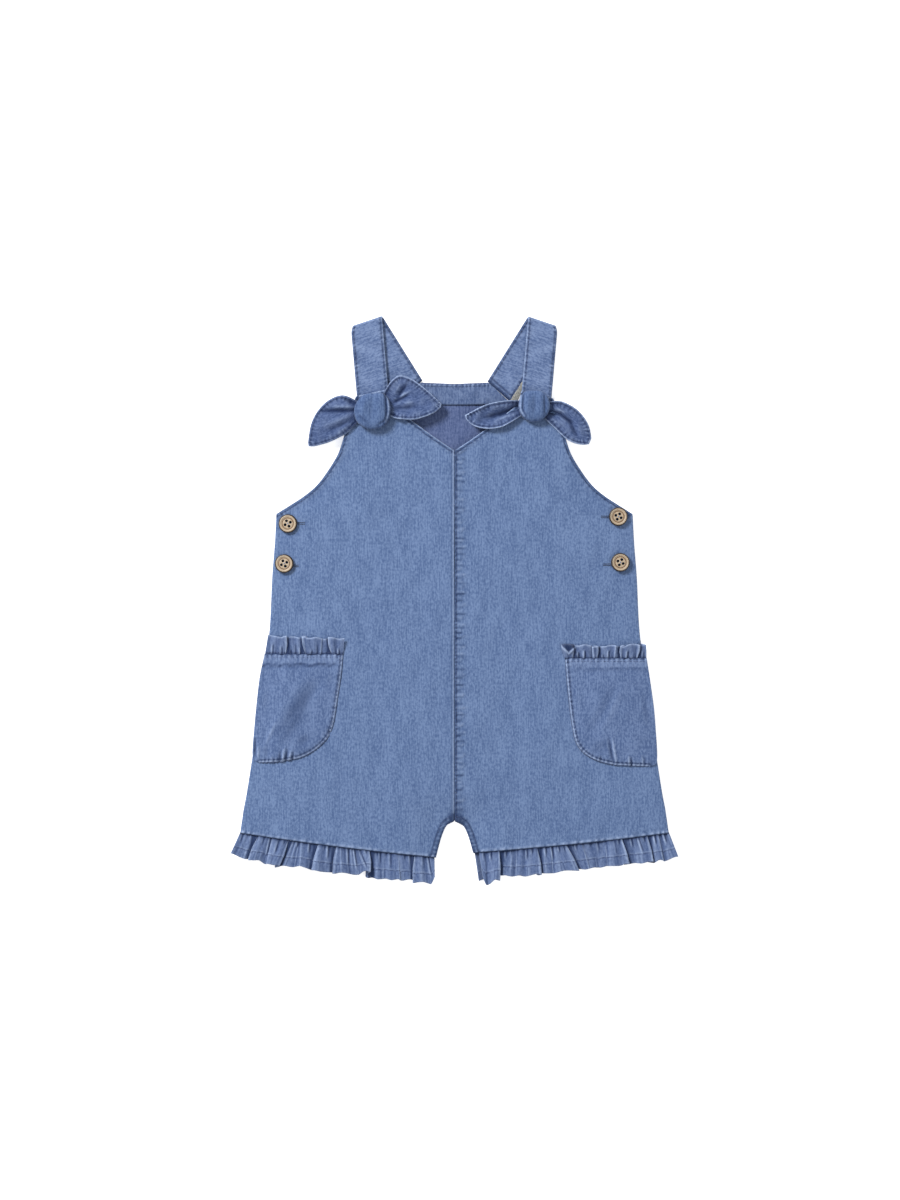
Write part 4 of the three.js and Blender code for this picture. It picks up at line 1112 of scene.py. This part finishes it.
for name, side in SIDES.items():
    seam = hem_seam(side)
    piece, lines = ruffle(
        f"hem_ruffle_front_{name}_cloth", HEM_PLEATS[name], HEM_GATHERS[name], 17.5,
        lambda x: seam(x) + 0.9,
        lambda x, y: front_base(x, seam(x)) - 1.35,
        lambda x, y: EDGE_TOP + 0 * x,
        ruffle_cloth, 61 + side, RUFFLE_HEM, 1.5,
    )
    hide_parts(f"hem_ruffle_front_{name}")
    stitches(f"hem_ruffle_stitching_{name}", lines, blue_thread, pitch=2.2)

    piece, _ = ruffle(
        f"hem_ruffle_back_{name}_cloth", BACK_PLEATS[name], [], 16.0,
        lambda x: seam(x) + 0.7,
        lambda x, y: 0.6 + 0 * x,
        lambda x, y: 0.7 + 0 * x,
        back_ruffle_shaded_cloth, 71 + side, 5.0, 0.8,
    )
    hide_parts(f"hem_ruffle_back_{name}")

    mouth = POCKET_ROWS[name][0, 1] - 0.6
    piece, lines = ruffle(
        f"pocket_ruffle_{name}_cloth", POCKET_PLEATS[name], POCKET_GATHERS[name], 10.5,
        lambda x: mouth + 0 * x,
        lambda x, y: front_base(x, y) + POCKET_LIFT - 0.95,
        lambda x, y: front_base(x, y) + POCKET_LIFT + 1.2,
        ruffle_cloth, 81 + side, 0, 1.3,
    )
    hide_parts(f"pocket_ruffle_{name}")
    stitches(f"pocket_ruffle_stitching_{name}", lines, blue_thread, pitch=2.2)

# ---- Bows ---------------------------------------------------------------------------------------
# At each top corner of the bib a tie is knotted: two faced, leaf-shaped ears stitched round their
# edges, pinched at a smooth wrapped knot that holds the strap.
BOW_TOP = 6.9  # top of an ear's cloth where it would lie flat on the bib
EAR_WALL = 1.2
EAR_LONG, EAR_WIDE = 40, 26
EAR_SEWN = 1.8  # how far in from its edge an ear is stitched
# Each station from the knot to the tip: upper edge x and y, lower edge x and y, how high the edges
# and the middle lie.
EARS = {
    "outer_left": [
        (-67.5, 141.6, -67.0, 130.4, 0.3, 1.6),
        (-77.5, 146.8, -76.5, 120.6, 0.3, 2.0),
        (-84.5, 146.6, -83.0, 116.7, 0.4, 2.0),
        (-92.2, 142.6, -90.5, 113.3, -0.4, 1.0),
        (-98.8, 135.6, -98.0, 111.2, -1.4, -0.4),
        (-103.3, 126.5, -102.6, 110.4, -2.4, -1.8),
        (-105.6, 113.4, -105.2, 110.6, -3.2, -3.2),
    ],
    "inner_left": [
        (-51.4, 148.0, -50.4, 134.6, 1.4, 0.1),
        (-46.2, 156.6, -43.4, 130.8, 2.3, 0.4),
        (-39.4, 161.4, -37.0, 129.7, 2.8, 0.9),
        (-30.4, 158.6, -28.6, 129.6, 2.8, 1.4),
        (-21.5, 152.2, -20.6, 131.9, 2.4, 1.7),
        (-14.4, 145.8, -14.4, 134.7, 2.0, 1.7),
        (-9.4, 140.9, -9.8, 138.6, 1.5, 1.5),
    ],
    "inner_right": [
        (50.0, 143.4, 50.0, 133.6, 1.8, -0.4),
        (40.2, 143.5, 40.6, 127.8, 2.9, -0.6),
        (33.7, 142.9, 33.7, 124.3, 3.1, -0.7),
        (25.0, 141.2, 25.4, 123.0, 2.6, -0.5),
        (17.6, 138.3, 18.0, 123.8, 1.8, -0.1),
        (11.6, 135.1, 12.2, 126.2, 0.9, 0.1),
        (7.5, 132.9, 8.2, 130.2, 0.3, 0.3),
    ],
    "outer_right": [
        (65.6, 142.6, 64.4, 130.6, 1.6, 0.0),
        (75.2, 143.1, 71.6, 123.8, 2.0, 0.1),
        (81.2, 141.2, 76.2, 119.3, 1.9, 0.2),
        (87.6, 137.4, 81.2, 115.0, 1.2, 0.2),
        (93.0, 131.8, 86.6, 112.6, 0.4, -0.4),
        (97.0, 124.5, 92.2, 111.6, -0.6, -1.0),
        (98.6, 116.4, 96.8, 112.0, -1.4, -1.4),
    ],
}
EAR_CREASES = {
    "outer_left": [
        (-99, 136.0, -66, 136.2, 1.5, -1.5),
        (-92, 139.5, -68, 138.6, 2.0, 0.8),
        (-98, 123.2, -70, 134.5, 2.4, 0.9),
        (-94, 120.0, -72, 130.5, 1.7, -0.8),
        (-82, 146.0, -70, 139.6, 1.2, -0.7),
        (-86, 118.0, -74, 127.5, 1.6, 0.5),
    ],
    "inner_left": [
        (-33.6, 156.5, -42.0, 143.6, 1.4, -1.5),
        (-37.4, 158.0, -44.6, 146.0, 1.4, 0.8),
        (-31.8, 148.6, -46.0, 140.6, 1.3, -1.4),
        (-29.0, 151.4, -42.0, 144.6, 1.4, 0.7),
        (-24.0, 139.4, -47.0, 137.4, 1.9, -0.9),
        (-26.0, 143.0, -40.0, 140.6, 1.7, 0.5),
        (-40.0, 131.0, -46.0, 134.6, 1.2, -0.6),
    ],
    "inner_right": [
        (18.0, 130.4, 37.0, 134.4, 2.1, -1.3),
        (30.0, 132.4, 50.0, 140.0, 1.9, -2.0),
        (22.0, 136.8, 44.0, 141.0, 1.8, 0.7),
        (26.0, 128.0, 46.0, 135.4, 1.8, 1.0),
        (14.0, 130.6, 24.0, 127.0, 1.5, -0.4),
    ],
    "outer_right": [
        (64.0, 135.8, 79.0, 133.6, 1.4, -1.5),
        (74.0, 135.0, 86.0, 126.4, 1.3, -1.3),
        (82.0, 130.4, 89.0, 116.0, 1.4, -1.0),
        (70.0, 138.6, 84.0, 133.0, 1.6, 0.7),
        (68.0, 131.6, 80.0, 124.0, 1.7, 0.6),
        (88.0, 130.0, 93.0, 116.0, 1.7, 0.5),
    ],
}
# How worn an ear's upper and lower edges are, and how dark the whole of it is.
EAR_WORN = {
    "outer_left": (0.3, 0.8, 0.13),
    "inner_left": (1.0, 1.0, 0.03),
    "inner_right": (0.9, 1.0, 0.0),
    "outer_right": (0.6, 0.9, 0.0),
}
ear_cloth = chambray("bow_chambray", (0.070, 0.109, 0.232), 1.45)


def ear_outline(stations):
    """The ear's edge in one line: along its upper edge, round the tip and back along the lower."""
    row = through(stations, np.linspace(0, 1, 50))
    return np.concatenate([row[:, :2], row[::-1, 2:4]])


def ear_top(name, u, v):
    stations = EARS[name]
    row = through(stations, v)
    x, y = mix(row[..., 2], row[..., 0], u), mix(row[..., 3], row[..., 1], u)
    z = BOW_TOP + mix(row[..., 4], row[..., 5], 1 - (2 * u - 1) ** 2)
    gap, along = near(x, y, ear_outline(stations))
    seed = 90 + len(name) + int(abs(stations[0][0]))
    hills = uneven(along + 0.7 * ripple(x, y, 7, seed), 3.4, seed)
    band = stripe(gap, 2.4, 2.0)
    folds = creases(x, y, EAR_CREASES[name]) * ease(gap / 2.0)
    z = z + 1.15 * folds + 0.16 * hills * band
    patchy = ripple(x, y, 9, seed + 3)
    z = z + 0.26 * patchy
    z += 0.16 * stripe(gap, 0.8, 0.7) - 0.4 * np.exp(-gap / 0.35)
    upper, lower, shade = EAR_WORN[name]
    worn = mix(lower, upper, ease((u - 0.3) / 0.4))
    wear_and_highlight = 0.85 * worn * stripe(gap, 0.2, 0.38) + 0.2 * np.maximum(hills, 0) * band
    wear_and_highlight = wear_and_highlight + 0.3 * np.maximum(folds - 0.1, 0) + 0.14 * np.maximum(patchy, 0)
    dark = 0.5 * np.maximum(-hills, 0) * band + 0.5 * stripe(gap, 1.7, 0.6)
    # Darker near the knot and in the crease troughs: painted shade.
    dark = dark + shade + 0.7 * stripe(v * EAR_LONG, 0, 5.0) + 0.7 * np.maximum(-folds - 0.05, 0)
    return np.stack([x, y, z], -1), wear_and_highlight, dark


for name in EARS:
    u, v = spaced(EAR_WIDE, 0.5, 0.7, 5)[:, None], spaced(EAR_LONG, 0.5, 0.7, 4)[None, :]
    points, wear_and_highlight, dark = ear_top(name, u, v)
    threads_at = np.stack([lengths(points, 0), lengths(points, 1)], -1)
    ear = cloth(f"bow_ear_{name}_cloth", points, ear_cloth, EAR_WALL, wear_and_highlight=wear_and_highlight, dark=dark, along=threads_at)
    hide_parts(f"bow_ear_{name}")
    side = name.split("_")[1]
    row = through(EARS[name], 0.5)
    inset = EAR_SEWN / np.hypot(row[0] - row[2], row[1] - row[3])
    down, tip = np.linspace(0.06, 0.93, 50), np.full(12, 0.93)
    path_v = np.concatenate([down, tip, down[::-1]])
    path_u = np.concatenate([0 * down + 1 - inset, np.linspace(1 - inset, inset, 12), 0 * down + inset])
    line, _, _ = ear_top(name, path_u, path_v)
    stitches(f"bow_stitching_{name}", [line + (0, 0, 0.03)], blue_thread)

# Each knot: its centre, its outline's points, its height, and its wrinkles and band edges.
KNOTS = {
    "left": {
        "centre": (-59.3, 136.3),
        "outline": [
            (-65.9, 147.0), (-57.5, 148.4), (-50.6, 148.2), (-46.5, 142.1), (-46.0, 135.0),
            (-49.2, 126.2), (-54.5, 123.4), (-60.8, 122.7), (-69.3, 127.0), (-72.1, 134.3), (-70.2, 142.1),
        ],
        "height": 8.5,
        "creases": [
            (-49.6, 151.0, -48.2, 124.0, 1.0, -0.8),
            (-64.0, 148.0, -66.5, 130.0, 1.6, 0.4),
            (-69.5, 146.0, -71.0, 131.0, 0.9, -0.5),
            (-59.0, 150.0, -60.5, 126.0, 1.8, -0.35),
            (-54.5, 149.0, -54.0, 126.0, 2.4, 0.3),
            (-71.0, 135.0, -60.0, 124.0, 1.1, -0.5),
            (-56.0, 124.5, -48.0, 130.0, 1.0, -0.45),
        ],
        "band": [(-49.0, 148.8), (-47.6, 142.0), (-47.3, 135.0), (-49.6, 127.6)],
    },
    "right": {
        "centre": (57.4, 139.4),
        "outline": [
            (50.0, 149.4), (57.0, 150.5), (64.5, 149.2), (67.8, 144.4), (68.6, 138.6),
            (66.0, 132.4), (61.6, 128.9), (55.2, 128.2), (49.2, 130.8), (46.3, 136.4), (46.6, 143.8),
        ],
        "height": 8.0,
        "creases": [
            (64.6, 151.0, 65.4, 128.0, 1.0, -0.8),
            (53.0, 149.0, 52.0, 131.0, 1.5, 0.4),
            (49.5, 150.0, 49.0, 131.0, 0.8, -0.5),
            (57.6, 150.0, 57.0, 129.0, 1.4, -0.4),
            (61.4, 149.0, 61.8, 131.0, 2.0, 0.3),
        ],
        "band": [(47.8, 146.6), (47.2, 142.0), (47.4, 136.8), (49.8, 132.4)],
    },
}
KNOT_BASE = -0.55
KNOT_BOTTOM = 5.5
KNOT_TURNS, KNOT_RINGS = 96, 44
knot_cloth = chambray("knot_chambray", (0.079, 0.130, 0.262), 1.2)


def knot_points(knot, ring, turn):
    """Points of a knot: ring runs from 0 at its crown to 1 at its foot, turn goes round it."""
    centre = np.array(knot["centre"])
    spokes = np.array(knot["outline"]) - centre
    angles = np.arctan2(spokes[:, 1], spokes[:, 0])
    order = np.argsort(angles)
    radius = 0
    for shift in np.linspace(-0.05, 0.05, 9):
        radius = radius + np.interp(
            turn + shift, angles[order], np.hypot(*spokes[order].T), period=2 * math.pi
        ) / 9
    tilt = ring * math.acos(KNOT_BASE)
    half = knot["height"] / (1 - KNOT_BASE)
    reach = np.abs(np.sin(tilt)) ** 0.55 * radius
    rise = np.sign(np.cos(tilt)) * np.abs(np.cos(tilt)) ** 0.62
    x = centre[0] + reach * np.cos(turn)
    y = centre[1] + reach * np.sin(turn)
    z = KNOT_BOTTOM + (rise - KNOT_BASE) * half
    z = z + 1.5 * creases(x, y, knot["creases"]) * np.maximum(0, np.cos(tilt)) ** 0.4
    return np.stack([x, y, z], -1)


for name, knot in KNOTS.items():
    turns = np.arange(KNOT_TURNS) / KNOT_TURNS * 2 * math.pi
    rings = np.linspace(0.015, 1, KNOT_RINGS)
    grid = knot_points(knot, rings[:, None], turns[None, :])
    crown = knot_points(knot, np.array([0.0]), np.array([0.0]))
    foot = np.array([[*knot["centre"], KNOT_BOTTOM]])
    points = np.concatenate([crown, grid.reshape(-1, 3), foot])
    faces = []
    last = 1 + (KNOT_RINGS - 1) * KNOT_TURNS
    for k in range(KNOT_TURNS):
        after = (k + 1) % KNOT_TURNS
        faces.append((0, 1 + k, 1 + after))
        faces.append((last + k, len(points) - 1, last + after))
        for a in range(1, last, KNOT_TURNS):
            b = a + KNOT_TURNS
            faces.append((a + k, b + k, b + after, a + after))
    mesh = bpy.data.meshes.new(f"bow_knot_{name}_cloth")
    mesh.from_pydata((points * MM).tolist(), [], faces)
    band_line = through(np.array(knot["band"]), np.linspace(0, 1, 40))
    gap, along = near(points[:, 0], points[:, 1], band_line)
    hills = uneven(along, 2.6, 97)
    # Darker towards the knot's foot and in its crease troughs: painted shade; paler along the band's edge,
    # worn.
    low = ease((KNOT_BOTTOM + 5.0 - points[:, 2]) / 4.0)
    folds = creases(points[:, 0], points[:, 1], knot["creases"])
    values = {
        "wear_and_highlight": 0.6 * stripe(gap, 0, 0.55) + 0.3 * np.maximum(hills, 0) * stripe(gap, 0, 2.2),
        "dark": 0.8 * low + 0.6 * stripe(gap, 1.5, 0.6) + 0.7 * np.maximum(-folds, 0),
    }
    for attribute, value in values.items():
        layer = mesh.attributes.new(attribute, "FLOAT", "POINT")
        layer.data.foreach_set("value", np.clip(value, 0, 1).astype(np.float32))
    corner = np.empty(len(mesh.loops), np.int32)
    mesh.loops.foreach_get("vertex_index", corner)
    threads = mesh.uv_layers.new(name="threads")
    threads.data.foreach_set("uv", (points[:, :2] * MM)[corner].astype(np.float32).ravel())
    mesh.materials.append(knot_cloth)
    mesh.shade_smooth()
    piece = bpy.data.objects.new(f"bow_knot_{name}_cloth", mesh)
    bpy.context.scene.collection.objects.link(piece)
    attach(piece, "root")
    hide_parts(f"bow_knot_{name}")

# ---- Buttons and buttonholes --------------------------------------------------------------------
# Four coconut-shell buttons, turned with a raised rim and a plain ring, dark where the shell's
# outside is left on their sides. Each is sewn crosswise through four holes; its worked buttonhole
# shows on the side towards the middle.
# The buttonhole thread is darker than the stitching thread: partly its own colour, partly painted shade for
# the slit.
buttonhole_thread_and_slit_shade = thread_material("buttonhole_thread_and_slit_shade", (0.03, 0.045, 0.09))
BUTTON = {"radius": 6.7, "side": 1.9, "hole": 1.0, "hole_at": 1.5, "turn": 0.35}
# Each buttonhole: from x, to x, and y.
BUTTONHOLES = {
    "upper_left": (-113.6, -107.6, 55.2),
    "lower_left": (-116.4, -112.2, 24.6),
    "upper_right": (105.6, 112.2, 59.8),
    "lower_right": (106.9, 114.0, 25.4),
}


def shell(name, colour, roughness, contrast):
    """Coconut shell: fine fibres in streaks, with small dark flecks."""
    material = bpy.data.materials.new(name)
    material.use_nodes = True
    tree = material.node_tree
    shader = tree.nodes["Principled BSDF"]
    shader.inputs["Roughness"].default_value = roughness
    place = tree.nodes.new("ShaderNodeTexCoord")
    stretch = tree.nodes.new("ShaderNodeMapping")
    stretch.inputs["Rotation"].default_value = (0, 0, 0.5)
    stretch.inputs["Scale"].default_value = (900, 3600, 1200)
    tree.links.new(place.outputs["Object"], stretch.inputs["Vector"])
    grain = tree.nodes.new("ShaderNodeTexNoise")
    grain.inputs["Scale"].default_value = 1
    grain.inputs["Detail"].default_value = 4
    tree.links.new(stretch.outputs["Vector"], grain.inputs["Vector"])
    ramp = tree.nodes.new("ShaderNodeValToRGB")
    ramp.color_ramp.elements[0].position = 0.28
    ramp.color_ramp.elements[0].color = (*(c * (1 - contrast) for c in colour), 1)
    ramp.color_ramp.elements[1].position = 0.66
    ramp.color_ramp.elements[1].color = (*(min(1, c * (1 + 0.3 * contrast)) for c in colour), 1)
    tree.links.new(grain.outputs["Fac"], ramp.inputs["Fac"])
    tree.links.new(ramp.outputs["Color"], shader.inputs["Base Color"])
    bump = tree.nodes.new("ShaderNodeBump")
    bump.inputs["Strength"].default_value = 0.25
    bump.inputs["Distance"].default_value = 0.0002
    tree.links.new(grain.outputs["Fac"], bump.inputs["Height"])
    tree.links.new(bump.outputs["Normal"], shader.inputs["Normal"])
    return material


def pick_faces(piece, test):
    """Selects the faces, in edit mode, whose centre and normal pass a test."""
    shape = bmesh.from_edit_mesh(piece.data)
    for face in shape.faces:
        face.select_set(bool(test(face.calc_center_median() / MM, face.normal)))
    shape.select_flush_mode()
    bmesh.update_edit_mesh(piece.data)


bpy.ops.mesh.primitive_cylinder_add(vertices=64, radius=BUTTON["radius"] * MM, depth=BUTTON["side"] * MM)
blank = bpy.context.object
blank.name = "button_blank"
SHELL_FACE, SHELL_RING, SHELL_SIDE = 0, 1, 2  # places of the finishes
for finish in (
    shell("shell_face", (0.47, 0.37, 0.26), 0.5, 0.3),
    shell("shell_ring", (0.20, 0.115, 0.06), 0.6, 0.4),
    shell("shell_side_and_hole_shade", (0.028, 0.017, 0.011), 0.55, 0.4),
):
    blank.data.materials.append(finish)
bpy.ops.object.mode_set(mode="EDIT")
bpy.ops.mesh.select_mode(type="FACE")
pick_faces(blank, lambda centre, normal: abs(normal.z) < 0.5)
blank.active_material_index = SHELL_SIDE
bpy.ops.object.material_slot_assign()
pick_faces(blank, lambda centre, normal: normal.z > 0.5)
blank.active_material_index = SHELL_SIDE
bpy.ops.object.material_slot_assign()
for inset, drop, slot in (  # from the edge inwards: chamfer, rim, dish, plain ring, well
    (0.85, 0.45, SHELL_FACE),
    (0.6, 0.1, SHELL_FACE),
    (0.5, -0.5, SHELL_FACE),
    (0.3, 0.0, SHELL_RING),
    (0.2, -0.1, SHELL_RING),
    (0.45, 0.0, SHELL_RING),
    (0.2, 0.1, SHELL_FACE),
    (1.2, 0.0, SHELL_FACE),
):
    bpy.ops.mesh.inset(thickness=inset * MM)
    bpy.ops.transform.translate(value=(0, 0, drop * MM))
    blank.active_material_index = slot
    bpy.ops.object.material_slot_assign()
bpy.ops.object.mode_set(mode="OBJECT")
for x in (-1, 1):
    for y in (-1, 1):
        bpy.ops.object.select_all(action="DESELECT")
        hole_at = BUTTON["hole_at"] * MM
        bpy.ops.mesh.primitive_cylinder_add(
            vertices=20, radius=BUTTON["hole"] * MM, depth=9 * MM, location=(x * hole_at, y * hole_at, 0)
        )
        drill = bpy.context.object
        # The holes' walls take the dark finish of the shell's outside, here painted shade down the holes.
        drill.data.materials.append(bpy.data.materials["shell_side_and_hole_shade"])
        bpy.context.view_layer.objects.active = blank
        cut = blank.modifiers.new("hole", "BOOLEAN")
        cut.object = drill
        cut.operation = "DIFFERENCE"
        cut.solver = "EXACT"
        cut.material_mode = "TRANSFER"
        bpy.ops.object.modifier_apply(modifier="hole")
        bpy.data.objects.remove(drill)
soften = blank.modifiers.new("soften", "BEVEL")
soften.width = 0.16 * MM
soften.segments = 2
soften.limit_method = "ANGLE"
soften.angle_limit = math.radians(40)
bpy.context.view_layer.objects.active = blank
bpy.ops.object.modifier_apply(modifier="soften")
blank.select_set(True)
bpy.ops.object.shade_smooth_by_angle(angle=math.radians(35))
bpy.ops.object.select_all(action="DESELECT")

button_thread = thread_material("button_thread", (0.13, 0.19, 0.33))
for name, (start_x, end_x, hole_y) in BUTTONHOLES.items():
    node_low, node_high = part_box(f"button_{name}")
    middle = (node_low + node_high) / 2
    x, y = middle.x / MM, middle.y / MM
    reach = BUTTON["radius"] * 0.9
    slope = float((front_base(x + reach, y) - front_base(x - reach, y)) / (2 * reach))
    side = 1 if x > 0 else -1
    lean = Matrix.Rotation(-math.atan(slope), 4, "Y") @ Matrix.Rotation(BUTTON["turn"] * side, 4, "Z")
    mesh = blank.data.copy()
    mesh.transform(Matrix.Translation(middle) @ lean)
    piece = bpy.data.objects.new(f"button_{name}_shell", mesh)
    bpy.context.scene.collection.objects.link(piece)
    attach(piece, "root")
    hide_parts(f"button_{name}")
    lines = []
    for way in (-1, 1):
        foot = Vector((0.8, 0.8 * way, 0.75))
        ends = [foot * -1 + Vector((0, 0, 1.5)), foot]
        lines.append(np.array([list(lean @ point + middle / MM) for point in ends]))
    stitches(f"button_thread_{name}", lines, button_thread, pitch=9, share=0.98, radius=0.26)
    bars = []
    for bar_x in np.arange(start_x, end_x, 0.45):
        for way in (-1, 1):
            bar = np.array([(bar_x, hole_y + way * 0.15), (bar_x, hole_y + way * 0.95)])
            bars.append(front_top(side, bar[:, 0], bar[:, 1]))
    stitches(f"buttonhole_{name}", bars, buttonhole_thread_and_slit_shade, pitch=5, share=0.98, radius=0.19)
bpy.data.objects.remove(blank)

# ---- Overlocked armhole edge and painted gap shade ----------------------------------------------
# The raw edge of the right back armhole, trimmed and overlocked in grey-beige thread, shows as a sliver
# between the two runs of the strap. The grey of strip and thread is painted shadow: the tone of the shaded
# floor seen through that gap.
OVERLOCK = {"width": 3.3, "from": 1.0, "to": 17.0, "top": 1.0}
# The grey of the strip and its thread is painted shadow: the tone of the shaded floor in that gap.
grey_thread_and_gap_shade = thread_material("grey_thread_and_gap_shade", (0.36, 0.36, 0.33), 0.8)
overlock_and_gap_shade = chambray("overlock_and_gap_shade_cloth", (0.30, 0.30, 0.28), 0.6)
strip_end = strap_end(1, STRAP_WIDTH / math.sin(FOLD_TO_RUN))


def overlock_point(across, share):
    """A point across the trimmed edge, at a share of its length."""
    off = strip_end - mix(OVERLOCK["from"], OVERLOCK["to"], share)
    start = (STRAP_WIDTH + STRAP_CLEAR + across * mix(1.5, 0.8, share)) / math.sin(FOLD_TO_RUN)
    point = strap_point(1, start - off / math.tan(FOLD_TO_RUN), off)
    point[..., 2] = OVERLOCK["top"]
    return point


strip = cloth(
    "armhole_overlock_right_cloth",
    overlock_point(np.linspace(0, OVERLOCK["width"], 8)[None, :], np.linspace(0, 1, 40)[:, None]),
    overlock_and_gap_shade,
)
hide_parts("armhole_overlock_right")
loops = []
for share in np.linspace(0.01, 0.97, 30):
    loops.append(np.array([overlock_point(0.1, share), overlock_point(OVERLOCK["width"], share + 0.02)]))
stitches("overlock_stitching", loops, grey_thread_and_gap_shade, pitch=4, share=0.98, radius=0.2)

# ---- Floor, light and camera --------------------------------------------------------------------
# A plain white floor just under the romper, a large soft lamp up and to the left, a wide dim one
# on the other side, and a camera straight above.
FLOOR_SIDE, FLOOR_TOP = 8, -0.0002  # in metres, as all sizes in this section
CAMERA_HEIGHT = 2.404
CAMERA_X = -0.00324
bpy.ops.mesh.primitive_grid_add(
    x_subdivisions=8, y_subdivisions=8, size=FLOOR_SIDE, location=(0, 0, FLOOR_TOP)
)
floor = bpy.context.object
floor.name = "floor"
bpy.ops.object.transform_apply(location=True)
white = bpy.data.materials.new("floor_white")
white.use_nodes = True
paint = white.node_tree.nodes["Principled BSDF"]
paint.inputs["Base Color"].default_value = (0.93, 0.93, 0.93, 1)
paint.inputs["Roughness"].default_value = 0.9
paint.inputs["Emission Color"].default_value = (1, 1, 1, 1)
paint.inputs["Emission Strength"].default_value = 0.62
floor.data.materials.append(white)
floor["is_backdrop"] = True
bpy.ops.object.select_all(action="DESELECT")


def lamp(name, place, size, power):
    """A round soft lamp that points at the romper."""
    light = bpy.data.lights.new(name, "AREA")
    light.shape = "DISK"
    light.size = size
    light.energy = power
    holder = bpy.data.objects.new(name, light)
    bpy.context.scene.collection.objects.link(holder)
    holder.location = place
    holder.rotation_euler = (-Vector(place)).to_track_quat("-Z", "Y").to_euler()


lamp("key_lamp", (-1.5, 1.5, 1.75), 0.8, 80)
lamp("fill_lamp", (1.6, -1.2, 2.4), 2.2, 20)
world = bpy.data.worlds.new("studio")
world.use_nodes = True
world.node_tree.nodes["Background"].inputs["Color"].default_value = (1, 1, 1, 1)
world.node_tree.nodes["Background"].inputs["Strength"].default_value = 0.45
bpy.context.scene.world = world
bpy.context.scene.view_settings.view_transform = "Standard"
eye = bpy.data.cameras.new("camera")
eye.lens = 100
camera = bpy.data.objects.new("camera", eye)
bpy.context.scene.collection.objects.link(camera)
camera.location = (CAMERA_X, 0, CAMERA_HEIGHT)
bpy.context.scene.camera = camera

low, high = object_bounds()
